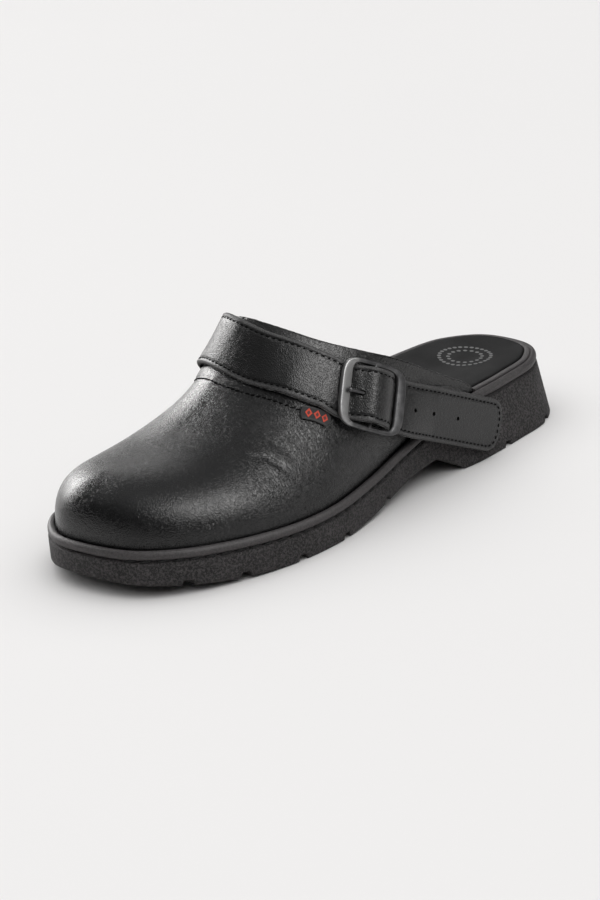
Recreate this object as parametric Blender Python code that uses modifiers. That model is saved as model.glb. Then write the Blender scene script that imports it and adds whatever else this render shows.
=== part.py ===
"""Leather work clog, left foot, built from the sizes of its last.

Toe towards -Y, heel towards +Y, outer side towards +X, floor at z = 0.
The tables are in millimetres; the objects come out in metres.
"""

import math

import bmesh
import bpy
import numpy as np

MM = 0.001
GAP = 0.3 * MM

# Middle of the shoe's outline on the floor, in the tables' own frame.
ORIGIN = (0.6 * MM, 3.25 * MM, 0.0)

# Outline of the sole from the toe tip to the heel tip: station, inner edge, outer edge.
PLAN_ROWS = (
    (-143.1, -10.0, -10.0),
    (-136.9, -29.5, 20.8),
    (-121.3, -45.4, 36.4),
    (-97.7, -51.9, 47.3),
    (-70.0, -53.2, 53.5),
    (-42.0, -50.2, 54.1),
    (-14.0, -44.1, 49.1),
    (14.0, -37.9, 43.0),
    (43.0, -35.6, 39.2),
    (72.0, -36.1, 37.1),
    (100.0, -36.6, 34.5),
    (125.4, -32.2, 29.3),
    (141.2, -17.4, 15.2),
    (144.4, -2.0, -2.0),
)

# Sizes that change along the foot: crest of the welt, flare of the heel wall, dish of the footbed.
FOOT_COLUMNS = ("welt", "flare", "dish")
FOOT_ROWS = (
    (-144.0, 22.9, 0.0, 0.0),
    (-120.0, 20.7, 0.0, 0.2),
    (-90.0, 18.6, 0.0, 0.8),
    (-60.0, 17.3, 0.0, 1.0),
    (-30.0, 17.9, 0.0, 0.7),
    (0.0, 20.6, 0.0, 0.4),
    (30.0, 25.6, 0.0, 0.5),
    (60.0, 30.1, 5.2, 1.2),
    (100.0, 31.3, 5.2, 2.0),
    (144.4, 32.0, 5.2, 0.2),
)

# Side of the sole, upwards: inset from the outline, drop below the crest of the welt.
WALL_ROWS = (
    (0.0, 5.3),
    (1.7, 4.8),
    (0.7, 4.0),
    (0.1, 2.6),
    (0.7, 0.8),
    (1.9, 0.0),
    (3.0, 0.4),
)
PAN_DROP = 2.3 * MM
RIM_START = 76.4 * MM
RIM_RISE = 0.7 * MM
RIM_INSET = 3.5 * MM
RIM_WIDTH = 2.3 * MM
INSOLE_INSET = 6.3 * MM
INSOLE_THICK = 3.3 * MM
INSOLE_ROUND = 0.5 * MM
FOOTBED_GAP = 0.3 * MM

# Underside ahead of the heel: toe spring and arch, as heights above the floor.
TOE_SPRING = ((-150.0, 10.6), (-142.0, 7.9), (-125.0, 4.9), (-108.0, 2.7), (-90.0, 1.0), (-73.0, 0.0))
ARCH = ((-38.0, 0.0), (-20.0, 1.3), (0.0, 4.0), (20.0, 7.2), (40.0, 9.6), (56.6, 0.0))
LUG_GROOVES = (-118.6, -94.4, -65.0, -36.4, -1.5, 89.3, 124.3)
LUG_GROOVE_WIDTH = (5.0 * MM, 3.2 * MM)
LUG_GROOVE_DEPTH = 2.4 * MM

# The last over the sole: ridge of the instep, its place across, fullness of the section.
LAST_COLUMNS = ("ridge", "across", "full")
LAST_ROWS = (
    (-118.0, 48.0, -7.0, 2.7),
    (-105.0, 48.0, -7.0, 2.6),
    (-90.0, 49.4, -6.0, 2.5),
    (-75.0, 53.4, -6.0, 2.3),
    (-62.0, 58.8, -6.0, 2.1),
    (-52.0, 65.2, -6.0, 1.9),
    (-42.0, 74.2, -6.0, 1.8),
    (-32.0, 88.6, -6.0, 1.75),
    (-15.0, 100.0, -6.0, 1.85),
    (10.0, 112.0, -3.0, 2.2),
    (76.0, 118.0, 0.0, 2.9),
)
TOE_RIDGE = -117.0 * MM
FAN_END = -80.0 * MM
UPPER_INSET = 3.55 * MM
UPPER_THICK = 2.0 * MM

# Top line of the upper, seen from the side.
COLLAR_COLUMNS = ("top",)
COLLAR_ROWS = (
    (-32.0, 92.6),
    (-16.0, 81.8),
    (2.0, 72.8),
    (20.0, 64.4),
    (45.0, 50.5),
    (61.0, 41.5),
    (70.0, 36.5),
    (74.0, 33.6),
    (75.6, 31.4),
)
UPPER_END = 75.6 * MM


# Strap: line of its middle over the upper, as degrees round the section from the outer side
# (90 at the ridge, 180 at the inner side) and station.
STRAP_LINE = (
    (173.1, 40.0),
    (164.3, 18.0),
    (152.5, -3.0),
    (142.0, -16.6),
    (128.0, -27.5),
    (112.0, -34.1),
    (90.0, -37.7),
    (72.0, -37.5),
    (54.0, -32.0),
)
STRAP_THICK = 2.2 * MM
STRAP_HALF = 12.4 * MM
STRAP_END_HALF = 5.0 * MM
STRAP_EDGE = 0.4 * MM
STRAP_TAPER = 42.0 * MM
# How far the strap runs to the heel's side of the buckle's middle where it comes to the frame.
STRAP_LEAD = 1.8 * MM
# Strap through the buckle: place along the buckle, share of the way up from the strap's height at that
# end of the frame to the crown over the bar, height added, share of the lead.
STRAP_WEAVE = (
    (-16.8, 0.0, 0.0, 0.2),
    (-12.9, 0.0, 0.0, 0.0),
    (-7.8, 0.5, 0.0, 0.0),
    (-2.6, 1.0, -0.3, 0.0),
    (1.0, 1.0, 0.0, 0.0),
    (4.8, 1.0, -0.5, 0.0),
    (9.0, 0.6, 0.0, 0.0),
    (12.8, 0.0, 0.0, 0.0),
    (17.5, 0.0, 0.0, 0.0),
    (23.0, 0.0, 0.2, 0.0),
)
TAB_TIP = (43.4 * MM, 80.8 * MM, 13.2 * MM)
TAB_ROUND = 10.0 * MM
# Holes of the tab, as distances from its tip.
TAB_HOLES = (34.1 * MM, 52.5 * MM, 66.6 * MM)
TAB_HOLE_RADIUS = 1.0 * MM
PRONG_HOLE_RADIUS = 1.35 * MM
CLEAR = 0.4 * MM

# Rivets of the chape and of the strap's inner end.
RIVET_PLACE = (53.0 * MM, 35.6 * MM)
RIVET_HEAD = (4.0 * MM, 1.4 * MM)
RIVET_SHANK = 1.5 * MM
RIVET_WASHER = (4.0 * MM, 0.9 * MM)

# Buckle, in its own frame: along the strap, across it, outwards from the upper.
BUCKLE_PLACE = (-4.2 * MM, 24.1)
BUCKLE_AIM = (13.0 * MM, 12.0)
FRAME_OUTER = (18.2 * MM, 15.9 * MM, 4.5)
FRAME_WINDOW = (13.0 * MM, 13.5 * MM, 8.0)
FRAME_THICK = 2.0 * MM
FRAME_EDGE = 0.4 * MM
BAR_RADIUS = 1.1 * MM
BAR_MIDDLE = 15.5 * MM
PRONG_RADIUS = 0.8 * MM
PRONG_TIP = 16.0 * MM
CHAPE_THICK = 1.3 * MM
CHAPE_HALF = 8.6 * MM
CHAPE_END_HALF = 4.8 * MM

# Sewn tag below the strap: ends of its line, as for the strap.
LABEL_LINE = ((43.2, -38.9), (36.4, -33.9), (29.6, -28.3))
LABEL_HALF = 3.0 * MM
LABEL_THICK = 0.8 * MM


class Stations:
    """Rows of sizes along the foot, joined by smooth curves."""

    def __init__(self, columns, rows):
        table = np.array(rows, float)
        self.y = table[:, 0] * MM
        self.columns = {}
        for place, name in enumerate(columns, start=1):
            value = table[:, place] * (1.0 if name == "full" else MM)
            self.columns[name] = (value, np.gradient(value, self.y))

    def at(self, name, y):
        value, slope = self.columns[name]
        y = np.clip(np.asarray(y, float), self.y[0], self.y[-1])
        row = np.clip(np.searchsorted(self.y, y, side="right") - 1, 0, len(self.y) - 2)
        span = self.y[row + 1] - self.y[row]
        t = (y - self.y[row]) / span
        return (
            (1 + 2 * t) * (1 - t) ** 2 * value[row]
            + t * (1 - t) ** 2 * span * slope[row]
            + t * t * (3 - 2 * t) * value[row + 1]
            + t * t * (t - 1) * span * slope[row + 1]
        )


class Plan:
    """Outline of the sole as two edges that share their stations."""

    def __init__(self, rows):
        y, inner, outer = (np.array(rows, float) * MM).T
        step = 0.5 * (np.hypot(np.diff(y), np.diff(inner)) + np.hypot(np.diff(y), np.diff(outer)))
        self.t = np.concatenate([[0.0], np.cumsum(step)])
        self.length = float(self.t[-1])
        slope = np.gradient(y, self.t)
        slope[0] = slope[-1] = 0.0
        self.parts = {"y": (y, slope)}
        for name, edge, way in (("inner", inner, -1.0), ("outer", outer, 1.0)):
            slope = np.gradient(edge, self.t)
            slope[0], slope[-1] = way, -way
            self.parts[name] = (edge, slope)

    def _value(self, name, t, turn=False):
        value, slope = self.parts[name]
        row = np.clip(np.searchsorted(self.t, t, side="right") - 1, 0, len(self.t) - 2)
        span = self.t[row + 1] - self.t[row]
        s = (t - self.t[row]) / span
        if turn:
            rise = 6 * s * (1 - s) * (value[row + 1] - value[row]) / span
            return rise + (1 - 4 * s + 3 * s * s) * slope[row] + (3 * s * s - 2 * s) * slope[row + 1]
        return (
            (1 + 2 * s) * (1 - s) ** 2 * value[row]
            + s * (1 - s) ** 2 * span * slope[row]
            + s * s * (3 - 2 * s) * value[row + 1]
            + s * s * (s - 1) * span * slope[row + 1]
        )

    def edge(self, side, t, inset=0.0):
        """Points of one edge, moved inwards by the inset."""
        x, y = self._value(side, t), self._value("y", t)
        dx, dy = self._value(side, t, True), self._value("y", t, True)
        size = np.hypot(dx, dy)
        way = -1.0 if side == "outer" else 1.0
        return x + way * inset * dy / size, y - way * inset * dx / size

    def at_station(self, y):
        """Place along the outline where the station is y."""
        t = np.linspace(0.0, self.length, 4001)
        return float(np.interp(y, self._value("y", t), t))


PLAN = Plan(PLAN_ROWS)
FOOT = Stations(FOOT_COLUMNS, FOOT_ROWS)
LAST = Stations(LAST_COLUMNS, LAST_ROWS)
COLLAR = Stations(COLLAR_COLUMNS, COLLAR_ROWS)


def throat():
    """Station at which the ridge of the instep reaches the top line."""
    low, high = COLLAR.y[0], 0.0
    for _ in range(50):
        middle = 0.5 * (low + high)
        if LAST.at("ridge", middle) < COLLAR.at("top", middle):
            low = middle
        else:
            high = middle
    return low


THROAT = throat()


class Shell:
    """Points and faces of one closed skin."""

    def __init__(self):
        self.points, self.faces = [], []

    def add(self, points):
        first = len(self.points)
        self.points.extend([float(c) for c in p] for p in points)
        return list(range(first, len(self.points)))

    def bridge(self, below, above, closed=True):
        count = len(below)
        for i in range(count if closed else count - 1):
            j = (i + 1) % count
            self.faces.append((below[i], below[j], above[j], above[i]))

    def build(self, name, finish, collection):
        mesh = bpy.data.meshes.new(name)
        faces = [tuple(dict.fromkeys(face)) for face in self.faces]
        faces = [face for face in faces if len(face) > 2]
        mesh.from_pydata([[a - b for a, b in zip(point, ORIGIN)] for point in self.points], [], faces)
        mesh.update()
        skin = bmesh.new()
        skin.from_mesh(mesh)
        bmesh.ops.recalc_face_normals(skin, faces=skin.faces)
        skin.to_mesh(mesh)
        skin.free()
        mesh.shade_smooth()
        mesh.set_sharp_from_angle(angle=math.radians(40))
        thing = bpy.data.objects.new(name, mesh)
        collection.objects.link(thing)
        if finish:
            mesh.materials.append(finish)
        return thing


def ladder(shell, ring, height, columns):
    """Close a loop of paired points with rungs across; height gives z from (rung, share across)."""
    half = len(ring) // 2
    rows = [[ring[0]]]
    for i in range(1, half):
        outer, inner = ring[i], ring[-i]
        a, b = np.array(shell.points[outer]), np.array(shell.points[inner])
        across = []
        for c in range(1, columns):
            share = c / columns
            point = a + (b - a) * share
            point[2] = height(i, share)
            across.append(point)
        rows.append([outer, *shell.add(across), inner])
    rows.append([ring[half]])
    for low, high in zip(rows, rows[1:]):
        if len(low) == 1:
            shell.faces.extend((low[0], high[c + 1], high[c]) for c in range(len(high) - 1))
        elif len(high) == 1:
            shell.faces.extend((low[c], low[c + 1], high[0]) for c in range(len(low) - 1))
        else:
            shell.faces.extend(
                (low[c], low[c + 1], high[c + 1], high[c]) for c in range(len(low) - 1)
            )


def stations(count, extra=()):
    """Even places along the outline, with some of them moved to given stations."""
    even = np.linspace(0.0, PLAN.length, count + 1)
    for y in extra:
        place = PLAN.at_station(y)
        taken = [PLAN.at_station(e) for e in extra]
        free = [i for i in range(1, count) if not any(abs(even[i] - e) < 1e-9 for e in taken)]
        nearest = min(free, key=lambda i: abs(even[i] - place))
        even[nearest] = place
    return np.sort(even)


SOLE_STATIONS = stations(46, (RIM_START - 0.2 * MM, RIM_START + 0.2 * MM))


def loop(t, inset, height):
    """Closed loop of the outline at an inset; height turns stations into z."""
    outer = PLAN.edge("outer", t, inset)
    inner = PLAN.edge("inner", t, inset)
    x = np.concatenate([outer[0], inner[0][-2:0:-1]])
    y = np.concatenate([outer[1], inner[1][-2:0:-1]])
    return np.stack([x, y, height(np.concatenate([t, t[-2:0:-1]]), y)], axis=1)


def welt(y):
    return FOOT.at("welt", y)


def footbed(t, share):
    """Height of the pan under the insole."""
    y = 0.5 * (PLAN.edge("outer", t, INSOLE_INSET)[1] + PLAN.edge("inner", t, INSOLE_INSET)[1])
    return welt(y) - PAN_DROP - FOOT.at("dish", y) * (1 - (2 * share - 1) ** 2) ** 2


def build_sole(finish, collection, cutters):
    t = SOLE_STATIONS
    shell = Shell()
    flare = FOOT.at("flare", PLAN.edge("outer", t)[1])
    rings = [shell.add(loop(t, -flare, lambda s, y: 0 * y))]
    for inset, drop in WALL_ROWS:
        rings.append(shell.add(loop(t, inset * MM, lambda s, y, d=drop: welt(y) - d * MM)))

    def rim(rise):
        def height(s, y):
            behind = PLAN._value("y", s) > RIM_START
            return np.where(behind, welt(y) + rise, welt(y) - PAN_DROP)

        return height

    last = WALL_ROWS[-1][0] * MM
    rings.append(shell.add(loop(t, last + 0.05 * MM, rim(0.4 * MM))))
    rings.append(shell.add(loop(t, RIM_INSET, rim(RIM_RISE))))
    rings.append(shell.add(loop(t, RIM_INSET + RIM_WIDTH, rim(RIM_RISE))))
    pan = shell.add(loop(t, INSOLE_INSET - GAP, lambda s, y: welt(y) - PAN_DROP))
    rings.append(pan)
    for below, above in zip(rings, rings[1:]):
        shell.bridge(below, above)
    ladder(shell, rings[0], lambda i, share: 0.0, 1)
    ladder(shell, pan, lambda i, share: footbed(t[i], share), 4)
    sole = shell.build("sole", finish, collection)
    for name, rows, ends in (
        ("toe_spring_cut", TOE_SPRING, ((-72.0, -6.0), (-160.0, -6.0), (-160.0, 10.6))),
        ("arch_cut", ARCH, ((62.0, -4.0), (-44.0, -4.0))),
    ):
        cut(sole, prism(name, [*rows, *ends], cutters))
    for place, y in enumerate(LUG_GROOVES):
        z = underside(y)
        wide, narrow = (0.5 * w / MM for w in LUG_GROOVE_WIDTH)
        top = z + LUG_GROOVE_DEPTH / MM
        rows = ((y - wide - 1.0, z - 1.7), (y + wide + 1.0, z - 1.7), (y + narrow, top), (y - narrow, top))
        cut(sole, prism(f"lug_groove_cut_{place + 1}", rows, cutters))
    return sole


def underside(y):
    """Height of the bottom over the floor at a station, all in millimetres."""
    rows = np.array([*TOE_SPRING, *ARCH])
    return float(np.interp(y, rows[:, 0], rows[:, 1]))


def prism(name, outline, collection, half=80.0):
    """Bar across the shoe with an outline in (y, z) millimetres."""
    shell = Shell()
    ends = [
        shell.add([(side * half * MM, y * MM, z * MM) for y, z in outline]) for side in (-1.0, 1.0)
    ]
    shell.bridge(*ends)
    shell.faces.extend((tuple(ends[0]), tuple(ends[1])))
    return shell.build(name, None, collection)


def cut(thing, tool, operation="DIFFERENCE"):
    tool.hide_render = True
    tool.display_type = "WIRE"
    change = thing.modifiers.new(tool.name, "BOOLEAN")
    change.operation = operation
    change.object = tool
    change.solver = "EXACT"


def build_insole(finish, collection):
    t = SOLE_STATIONS
    shell = Shell()

    def y_pan(s, y):
        return welt(y) - PAN_DROP + FOOTBED_GAP

    low = shell.add(loop(t, INSOLE_INSET, y_pan))
    high = shell.add(loop(t, INSOLE_INSET, lambda s, y: y_pan(s, y) + INSOLE_THICK - INSOLE_ROUND))
    top = shell.add(loop(t, INSOLE_INSET + INSOLE_ROUND, lambda s, y: y_pan(s, y) + INSOLE_THICK))
    shell.bridge(low, high)
    shell.bridge(high, top)
    ladder(shell, low, lambda i, share: footbed(t[i], share) + FOOTBED_GAP, 4)
    ladder(shell, top, lambda i, share: footbed(t[i], share) + FOOTBED_GAP + INSOLE_THICK, 4)
    return shell.build("insole", finish, collection)


def ridge_station(t):
    """Station on the ridge for a place on the outline; it fans out over the toe."""
    t = np.asarray(t, float)
    y = PLAN._value("y", t)
    end = PLAN.at_station(FAN_END)
    s = np.clip(t / end, 0.0, 1.0)
    slope = float(PLAN._value("y", np.array([end]), True)[0])
    fan = (
        (1 + 2 * s) * (1 - s) ** 2 * TOE_RIDGE
        + s * (1 - s) ** 2 * end * 0.3
        + s * s * (3 - 2 * s) * FAN_END
        + s * s * (s - 1) * end * slope
    )
    return np.where(t < end, fan, y)


def skin(side, t, angle):
    """Outer surface of the upper: angle 0 at the sole, a quarter turn at the ridge."""
    x0, y0 = PLAN.edge(side, t, UPPER_INSET)
    z0 = welt(y0) - PAN_DROP + GAP
    y1 = ridge_station(t)
    x1, z1 = LAST.at("across", y1), LAST.at("ridge", y1)
    power = 2.0 / LAST.at("full", y1)
    out, up = np.cos(angle) ** power, np.sin(angle) ** power
    y_top = np.where(t < PLAN.at_station(FAN_END), y1, y0)
    return np.stack([x1 + (x0 - x1) * out, y_top + (y0 - y_top) * out, z0 + (z1 - z0) * up], axis=-1)


def top_angle(side, t):
    """Angle at which the skin ends: the ridge ahead of the throat, the top line behind it."""
    y0 = PLAN.edge(side, np.array([t]), UPPER_INSET)[1][0]
    if y0 <= THROAT:
        return math.pi / 2
    y1 = ridge_station(t)
    z0 = welt(y0) - PAN_DROP + GAP
    share = (COLLAR.at("top", y0) - z0) / (LAST.at("ridge", y1) - z0)
    share = float(np.clip(share, 0.0, 1.0))
    return math.asin(share ** (LAST.at("full", y1) / 2.0))


def upper_places():
    """Places along the outline for the upper: close together round the throat and the corner."""
    end = PLAN.at_station(UPPER_END)
    front = PLAN.at_station(THROAT)
    fan = np.linspace(0.0, PLAN.at_station(FAN_END), 13)[:-1]
    vamp = np.linspace(PLAN.at_station(FAN_END), front, 8)[:-1]
    curve = front + (PLAN.at_station(-12.0 * MM) - front) * np.linspace(0.0, 1.0, 8) ** 2
    side = np.linspace(curve[-1], PLAN.at_station(66.0 * MM), 9)[1:]
    corner = np.linspace(side[-1], end, 5)[1:]
    return np.concatenate([fan, vamp, curve, side, corner])


UPPER_ROWS = 12


def build_upper(finish, collection):
    places = upper_places()
    shell = Shell()
    grids = {}
    for side in ("outer", "inner"):
        grid = []
        for place in places:
            top = top_angle(side, place)
            angle = top * np.linspace(0.0, 1.0, UPPER_ROWS) ** 0.9
            grid.append(skin(side, np.full(UPPER_ROWS, place), angle))
        grids[side] = grid
    rows = {}
    front = int(np.argmin(abs(places - PLAN.at_station(THROAT))))
    rows["outer"] = [shell.add(line) for line in grids["outer"]]
    rows["inner"] = []
    for i, line in enumerate(grids["inner"]):
        if i == 0:
            rows["inner"].append(rows["outer"][0])
            continue
        ids = shell.add(line[:-1])
        ids.append(rows["outer"][i][-1] if i <= front else shell.add(line[-1:])[0])
        rows["inner"].append(ids)
    for side in ("outer", "inner"):
        for a, b in zip(rows[side], rows[side][1:]):
            shell.bridge(a, b, closed=False)
    upper = shell.build("upper", finish, collection)
    wall = upper.modifiers.new("wall", "SOLIDIFY")
    wall.thickness = UPPER_THICK
    wall.offset = -1.0
    wall.use_even_offset = True
    wall.use_rim = True
    wall.use_quality_normals = True
    return upper


def unit(v):
    return np.asarray(v, float) / np.linalg.norm(v)


def frame_at(side, t, angle):
    """Point on the skin of the upper with its outward direction."""
    step, turn = 0.2 * MM, 0.01
    angle = min(angle, math.pi / 2 - turn)
    places = np.array([t, t + step, t - step, t, t])
    p = skin(side, places, np.array([angle, angle, angle, angle + turn, angle - turn]))
    out = np.cross(p[1] - p[2], p[3] - p[4])
    way = np.array([1.0 if side == "outer" else -1.0, 0.0, 0.6])
    return p[0], unit(out if out @ way > 0 else -out)


def around(degrees, y):
    """Skin point and direction for degrees round the section at a station."""
    side = "outer" if degrees <= 90 else "inner"
    angle = math.radians(degrees if degrees <= 90 else 180 - degrees)
    return frame_at(side, PLAN.at_station(y), angle)


def on_wall(side, y, z):
    """Skin point and direction at a height on the side of the upper."""
    t = PLAN.at_station(y)
    z0 = welt(y) - PAN_DROP + GAP
    share = (z - z0) / (LAST.at("ridge", y) - z0)
    return frame_at(side, t, math.asin(float(share) ** (LAST.at("full", y) / 2.0)))


def skin_cloud():
    """Close points all over the outside of the upper."""
    cloud = []
    for side in ("outer", "inner"):
        for t in np.linspace(PLAN.at_station(-75 * MM), PLAN.at_station(UPPER_END), 150):
            angle = np.linspace(0.03, top_angle(side, t), 60)
            cloud.append(skin(side, np.full(60, t), angle))
    return np.concatenate(cloud)


CLOUD = skin_cloud()


def standoff(point, along, out, half, reach=2.0 * MM):
    """Height of the upper over a flat strip that is laid at a point."""
    away = CLOUD - point
    near = (abs(away @ along) < reach) & (abs(away @ np.cross(out, along)) < half)
    return float((away[near] @ out).max()) if near.any() else 0.0


class Line:
    """Smooth line through points, each with an outward direction."""

    def __init__(self, points, outs):
        self.p, self.o = np.array(points), np.array(outs)
        self.s = np.concatenate([[0.0], np.cumsum(np.linalg.norm(np.diff(self.p, axis=0), axis=1))])
        self.length = float(self.s[-1])
        self.m = np.gradient(self.p, self.s, axis=0)

    def frame(self, s):
        i = int(np.clip(np.searchsorted(self.s, s, side="right") - 1, 0, len(self.s) - 2))
        span = self.s[i + 1] - self.s[i]
        t = (s - self.s[i]) / span
        a, b, m, n = self.p[i], self.p[i + 1], self.m[i], self.m[i + 1]
        point = (1 + 2 * t) * (1 - t) ** 2 * a + t * (1 - t) ** 2 * span * m
        point = point + t * t * (3 - 2 * t) * b + t * t * (t - 1) * span * n
        along = 6 * t * (1 - t) * (b - a) / span + (1 - 4 * t + 3 * t * t) * m + (3 * t * t - 2 * t) * n
        along = unit(along)
        out = (1 - t) * self.o[i] + t * self.o[i + 1]
        out = unit(out - along * (out @ along))
        return point, along, out


def strip_section(half, thick, edge):
    """Corners of a flat strip with broken edges, as (across, out)."""
    a, b, e = half, thick / 2, min(edge, half * 0.4)
    return (
        (a - e, b), (a, b - e), (a, e - b), (a - e, -b),
        (e - a, -b), (-a, e - b), (-a, b - e), (e - a, b),
    )


def sweep(name, line, places, section, finish, collection):
    """Solid along a line; section(place) gives its corners as (across, out)."""
    shell = Shell()
    rings = []
    for s in places:
        point, along, out = line.frame(s)
        across = np.cross(out, along)
        rings.append(shell.add([point + across * a + out * b for a, b in section(s)]))
    for below, above in zip(rings, rings[1:]):
        shell.bridge(below, above)
    shell.faces.extend((tuple(rings[0]), tuple(rings[-1])))
    return shell.build(name, finish, collection)


def rounded(distance, length, half, power=2.6):
    """Half width of a strip near its rounded end, at a distance from the tip."""
    share = 1.0 - min(max(distance / length, 0.0), 1.0)
    return half * max(1.0 - share**power, 0.0) ** (1.0 / power)


def end_places(length, count=7):
    """Distances from the tip that space a rounded end evenly."""
    return [length * (1 - math.sin(math.radians(a)) ** 0.77) for a in np.linspace(0, 84, count)]


class Buckle:
    """Frame of axes of the buckle and the heights of its layers over the upper."""

    def __init__(self):
        place, degrees = BUCKLE_PLACE
        self.origin, self.out = frame_at("outer", PLAN.at_station(place), math.radians(degrees))
        aim = frame_at("outer", PLAN.at_station(BUCKLE_AIM[0]), math.radians(BUCKLE_AIM[1]))[0]
        along = aim - self.origin
        self.along = unit(along - self.out * (along @ self.out))
        self.across = np.cross(self.out, self.along)
        front = self.base(-BAR_MIDDLE) + CLEAR + STRAP_THICK
        rear = self.base(BAR_MIDDLE) + CLEAR + 2 * CHAPE_THICK + 2 * GAP + STRAP_THICK
        self.front_strap = front - STRAP_THICK / 2
        self.rear_strap = rear - STRAP_THICK / 2
        self.front = front + 1.6 * GAP + FRAME_THICK / 2
        self.rear = rear + 3.5 * GAP + FRAME_THICK / 2
        self.bar = 0.5 * (self.front + self.rear)
        self.ring = BAR_RADIUS + GAP + PRONG_RADIUS
        self.crown = self.bar + self.ring + PRONG_RADIUS + GAP + STRAP_THICK / 2

    def base(self, along):
        return standoff(self.origin + self.along * along, self.along, self.out, STRAP_HALF)

    def at(self, along, out, across=0.0):
        return self.origin + self.along * along + self.out * out + self.across * across

    def tilt(self, along):
        """Middle of the frame's thickness at a place along the strap."""
        return self.bar + (self.rear - self.front) * along / (2 * BAR_MIDDLE)


def laid(track, start, stop, half, thick, step=4.0 * MM):
    """Points of a flat strip that lies on the upper along a track on its skin."""
    places = np.linspace(start, stop, max(int(round((stop - start) / step)), 2) + 1)
    frames = [track.frame(s) for s in places]
    height = np.array([standoff(p, along, out, half(s)) for s, (p, along, out) in zip(places, frames)])
    padded = np.pad(height, 1, mode="edge")
    highest = np.max([padded[:-2], padded[1:-1], padded[2:]], axis=0)
    padded = np.pad(highest, 1, mode="edge")
    lift = np.mean([padded[:-2], padded[1:-1], padded[2:]], axis=0) + CLEAR + thick / 2
    return [(p + out * up, out) for (p, _, out), up in zip(frames, lift)]


def strap_line(buckle):
    rivet, rivet_out = on_wall("inner", *RIVET_PLACE)
    rows = [around(degrees, y * MM) for degrees, y in STRAP_LINE]
    back = unit(rivet - rows[0][0])
    rows = [(rivet + back * STRAP_END_HALF * 1.1, rivet_out), (rivet, rivet_out), *rows]
    ahead = -PRONG_TIP - STRAP_END_HALF
    rows.append((buckle.at(ahead, buckle.base(ahead), STRAP_LEAD), buckle.out))
    track = Line([p for p, _ in rows], [o for _, o in rows])
    wide = track.s[3]

    def half(s):
        return STRAP_END_HALF + (STRAP_HALF - STRAP_END_HALF) * min(s / wide, 1.0)

    lying = laid(track, 0.0, track.length - 1.0 * MM, half, STRAP_THICK)
    points, outs = [p for p, _ in lying], [o for _, o in lying]
    for along, share, more, lead in STRAP_WEAVE:
        flat = buckle.front_strap if along < 0 else buckle.rear_strap
        height = flat + (buckle.crown - flat) * share + more * MM
        points.append(buckle.at(along * MM, height, STRAP_LEAD * lead))
        outs.append(buckle.out)
    tip, root = np.array(TAB_TIP), points[-1]
    for share in (0.3, 0.65, 1.0):
        points.append(root + (tip - root) * share)
        outs.append(unit((1.0, 0.0, 0.06)))
    return Line(points, outs)


def build_strap(buckle, finish, collection, cutters):
    line = strap_line(buckle)
    start = [STRAP_END_HALF * 1.1 * (1 - math.cos(math.radians(a))) for a in (20, 45, 70, 90)]
    places = start + list(np.linspace(start[-1], line.length - TAB_ROUND, 70))[1:]
    places += [line.length - d for d in end_places(TAB_ROUND)][1:]

    def section(s):
        grown = min(max(s - start[-1], 0.0) / STRAP_TAPER, 1.0)
        half = STRAP_END_HALF + (STRAP_HALF - STRAP_END_HALF) * grown
        if s < start[-1]:
            half = STRAP_END_HALF * math.sqrt(max(1 - (1 - s / start[-1]) ** 2, 0.0))
        half = min(half, rounded(line.length - s, TAB_ROUND, STRAP_HALF))
        return strip_section(half, STRAP_THICK, STRAP_EDGE)

    strap = sweep("strap", line, places, section, finish, collection)
    for place, distance in enumerate(TAB_HOLES, start=1):
        point, _, out = line.frame(line.length - distance)
        cut(strap, pin(f"tab_hole_cut_{place}", point, out, TAB_HOLE_RADIUS, 4 * MM, cutters))
    hole = [buckle.at(a * MM, prong_height(buckle, a * MM)) for a in (-2.0, -12.5)]
    way = unit(hole[1] - hole[0])
    cut(strap, pin("prong_hole_cut", 0.5 * (hole[0] + hole[1]), way, PRONG_HOLE_RADIUS, 5.3 * MM, cutters))
    point, out = rivet_axis("inner")
    cut(strap, pin("strap_rivet_cut", point, out, RIVET_SHANK + GAP, 9 * MM, cutters))
    return strap


def prong_height(buckle, along):
    """Middle of the prong over the upper at a place along the strap."""
    high = buckle.bar + buckle.ring
    low = buckle.tilt(-BAR_MIDDLE) + FRAME_THICK / 2 + GAP + PRONG_RADIUS
    return high + (low - high) * min(-along / BAR_MIDDLE, 1.2)


def pin(name, middle, axis, radius, half, collection, finish=None, sides=16):
    """Round pin about an axis."""
    shell = Shell()
    side = unit(np.cross(axis, (0.3, 0.5, 0.8)))
    up = np.cross(axis, side)
    rings = []
    for end in (-half, half):
        rings.append(
            shell.add(
                [
                    middle + axis * end + radius * (side * math.cos(a) + up * math.sin(a))
                    for a in np.linspace(0, 2 * math.pi, sides + 1)[:-1]
                ]
            )
        )
    shell.bridge(*rings)
    shell.faces.extend((tuple(rings[0]), tuple(rings[1])))
    return shell.build(name, finish, collection)


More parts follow.
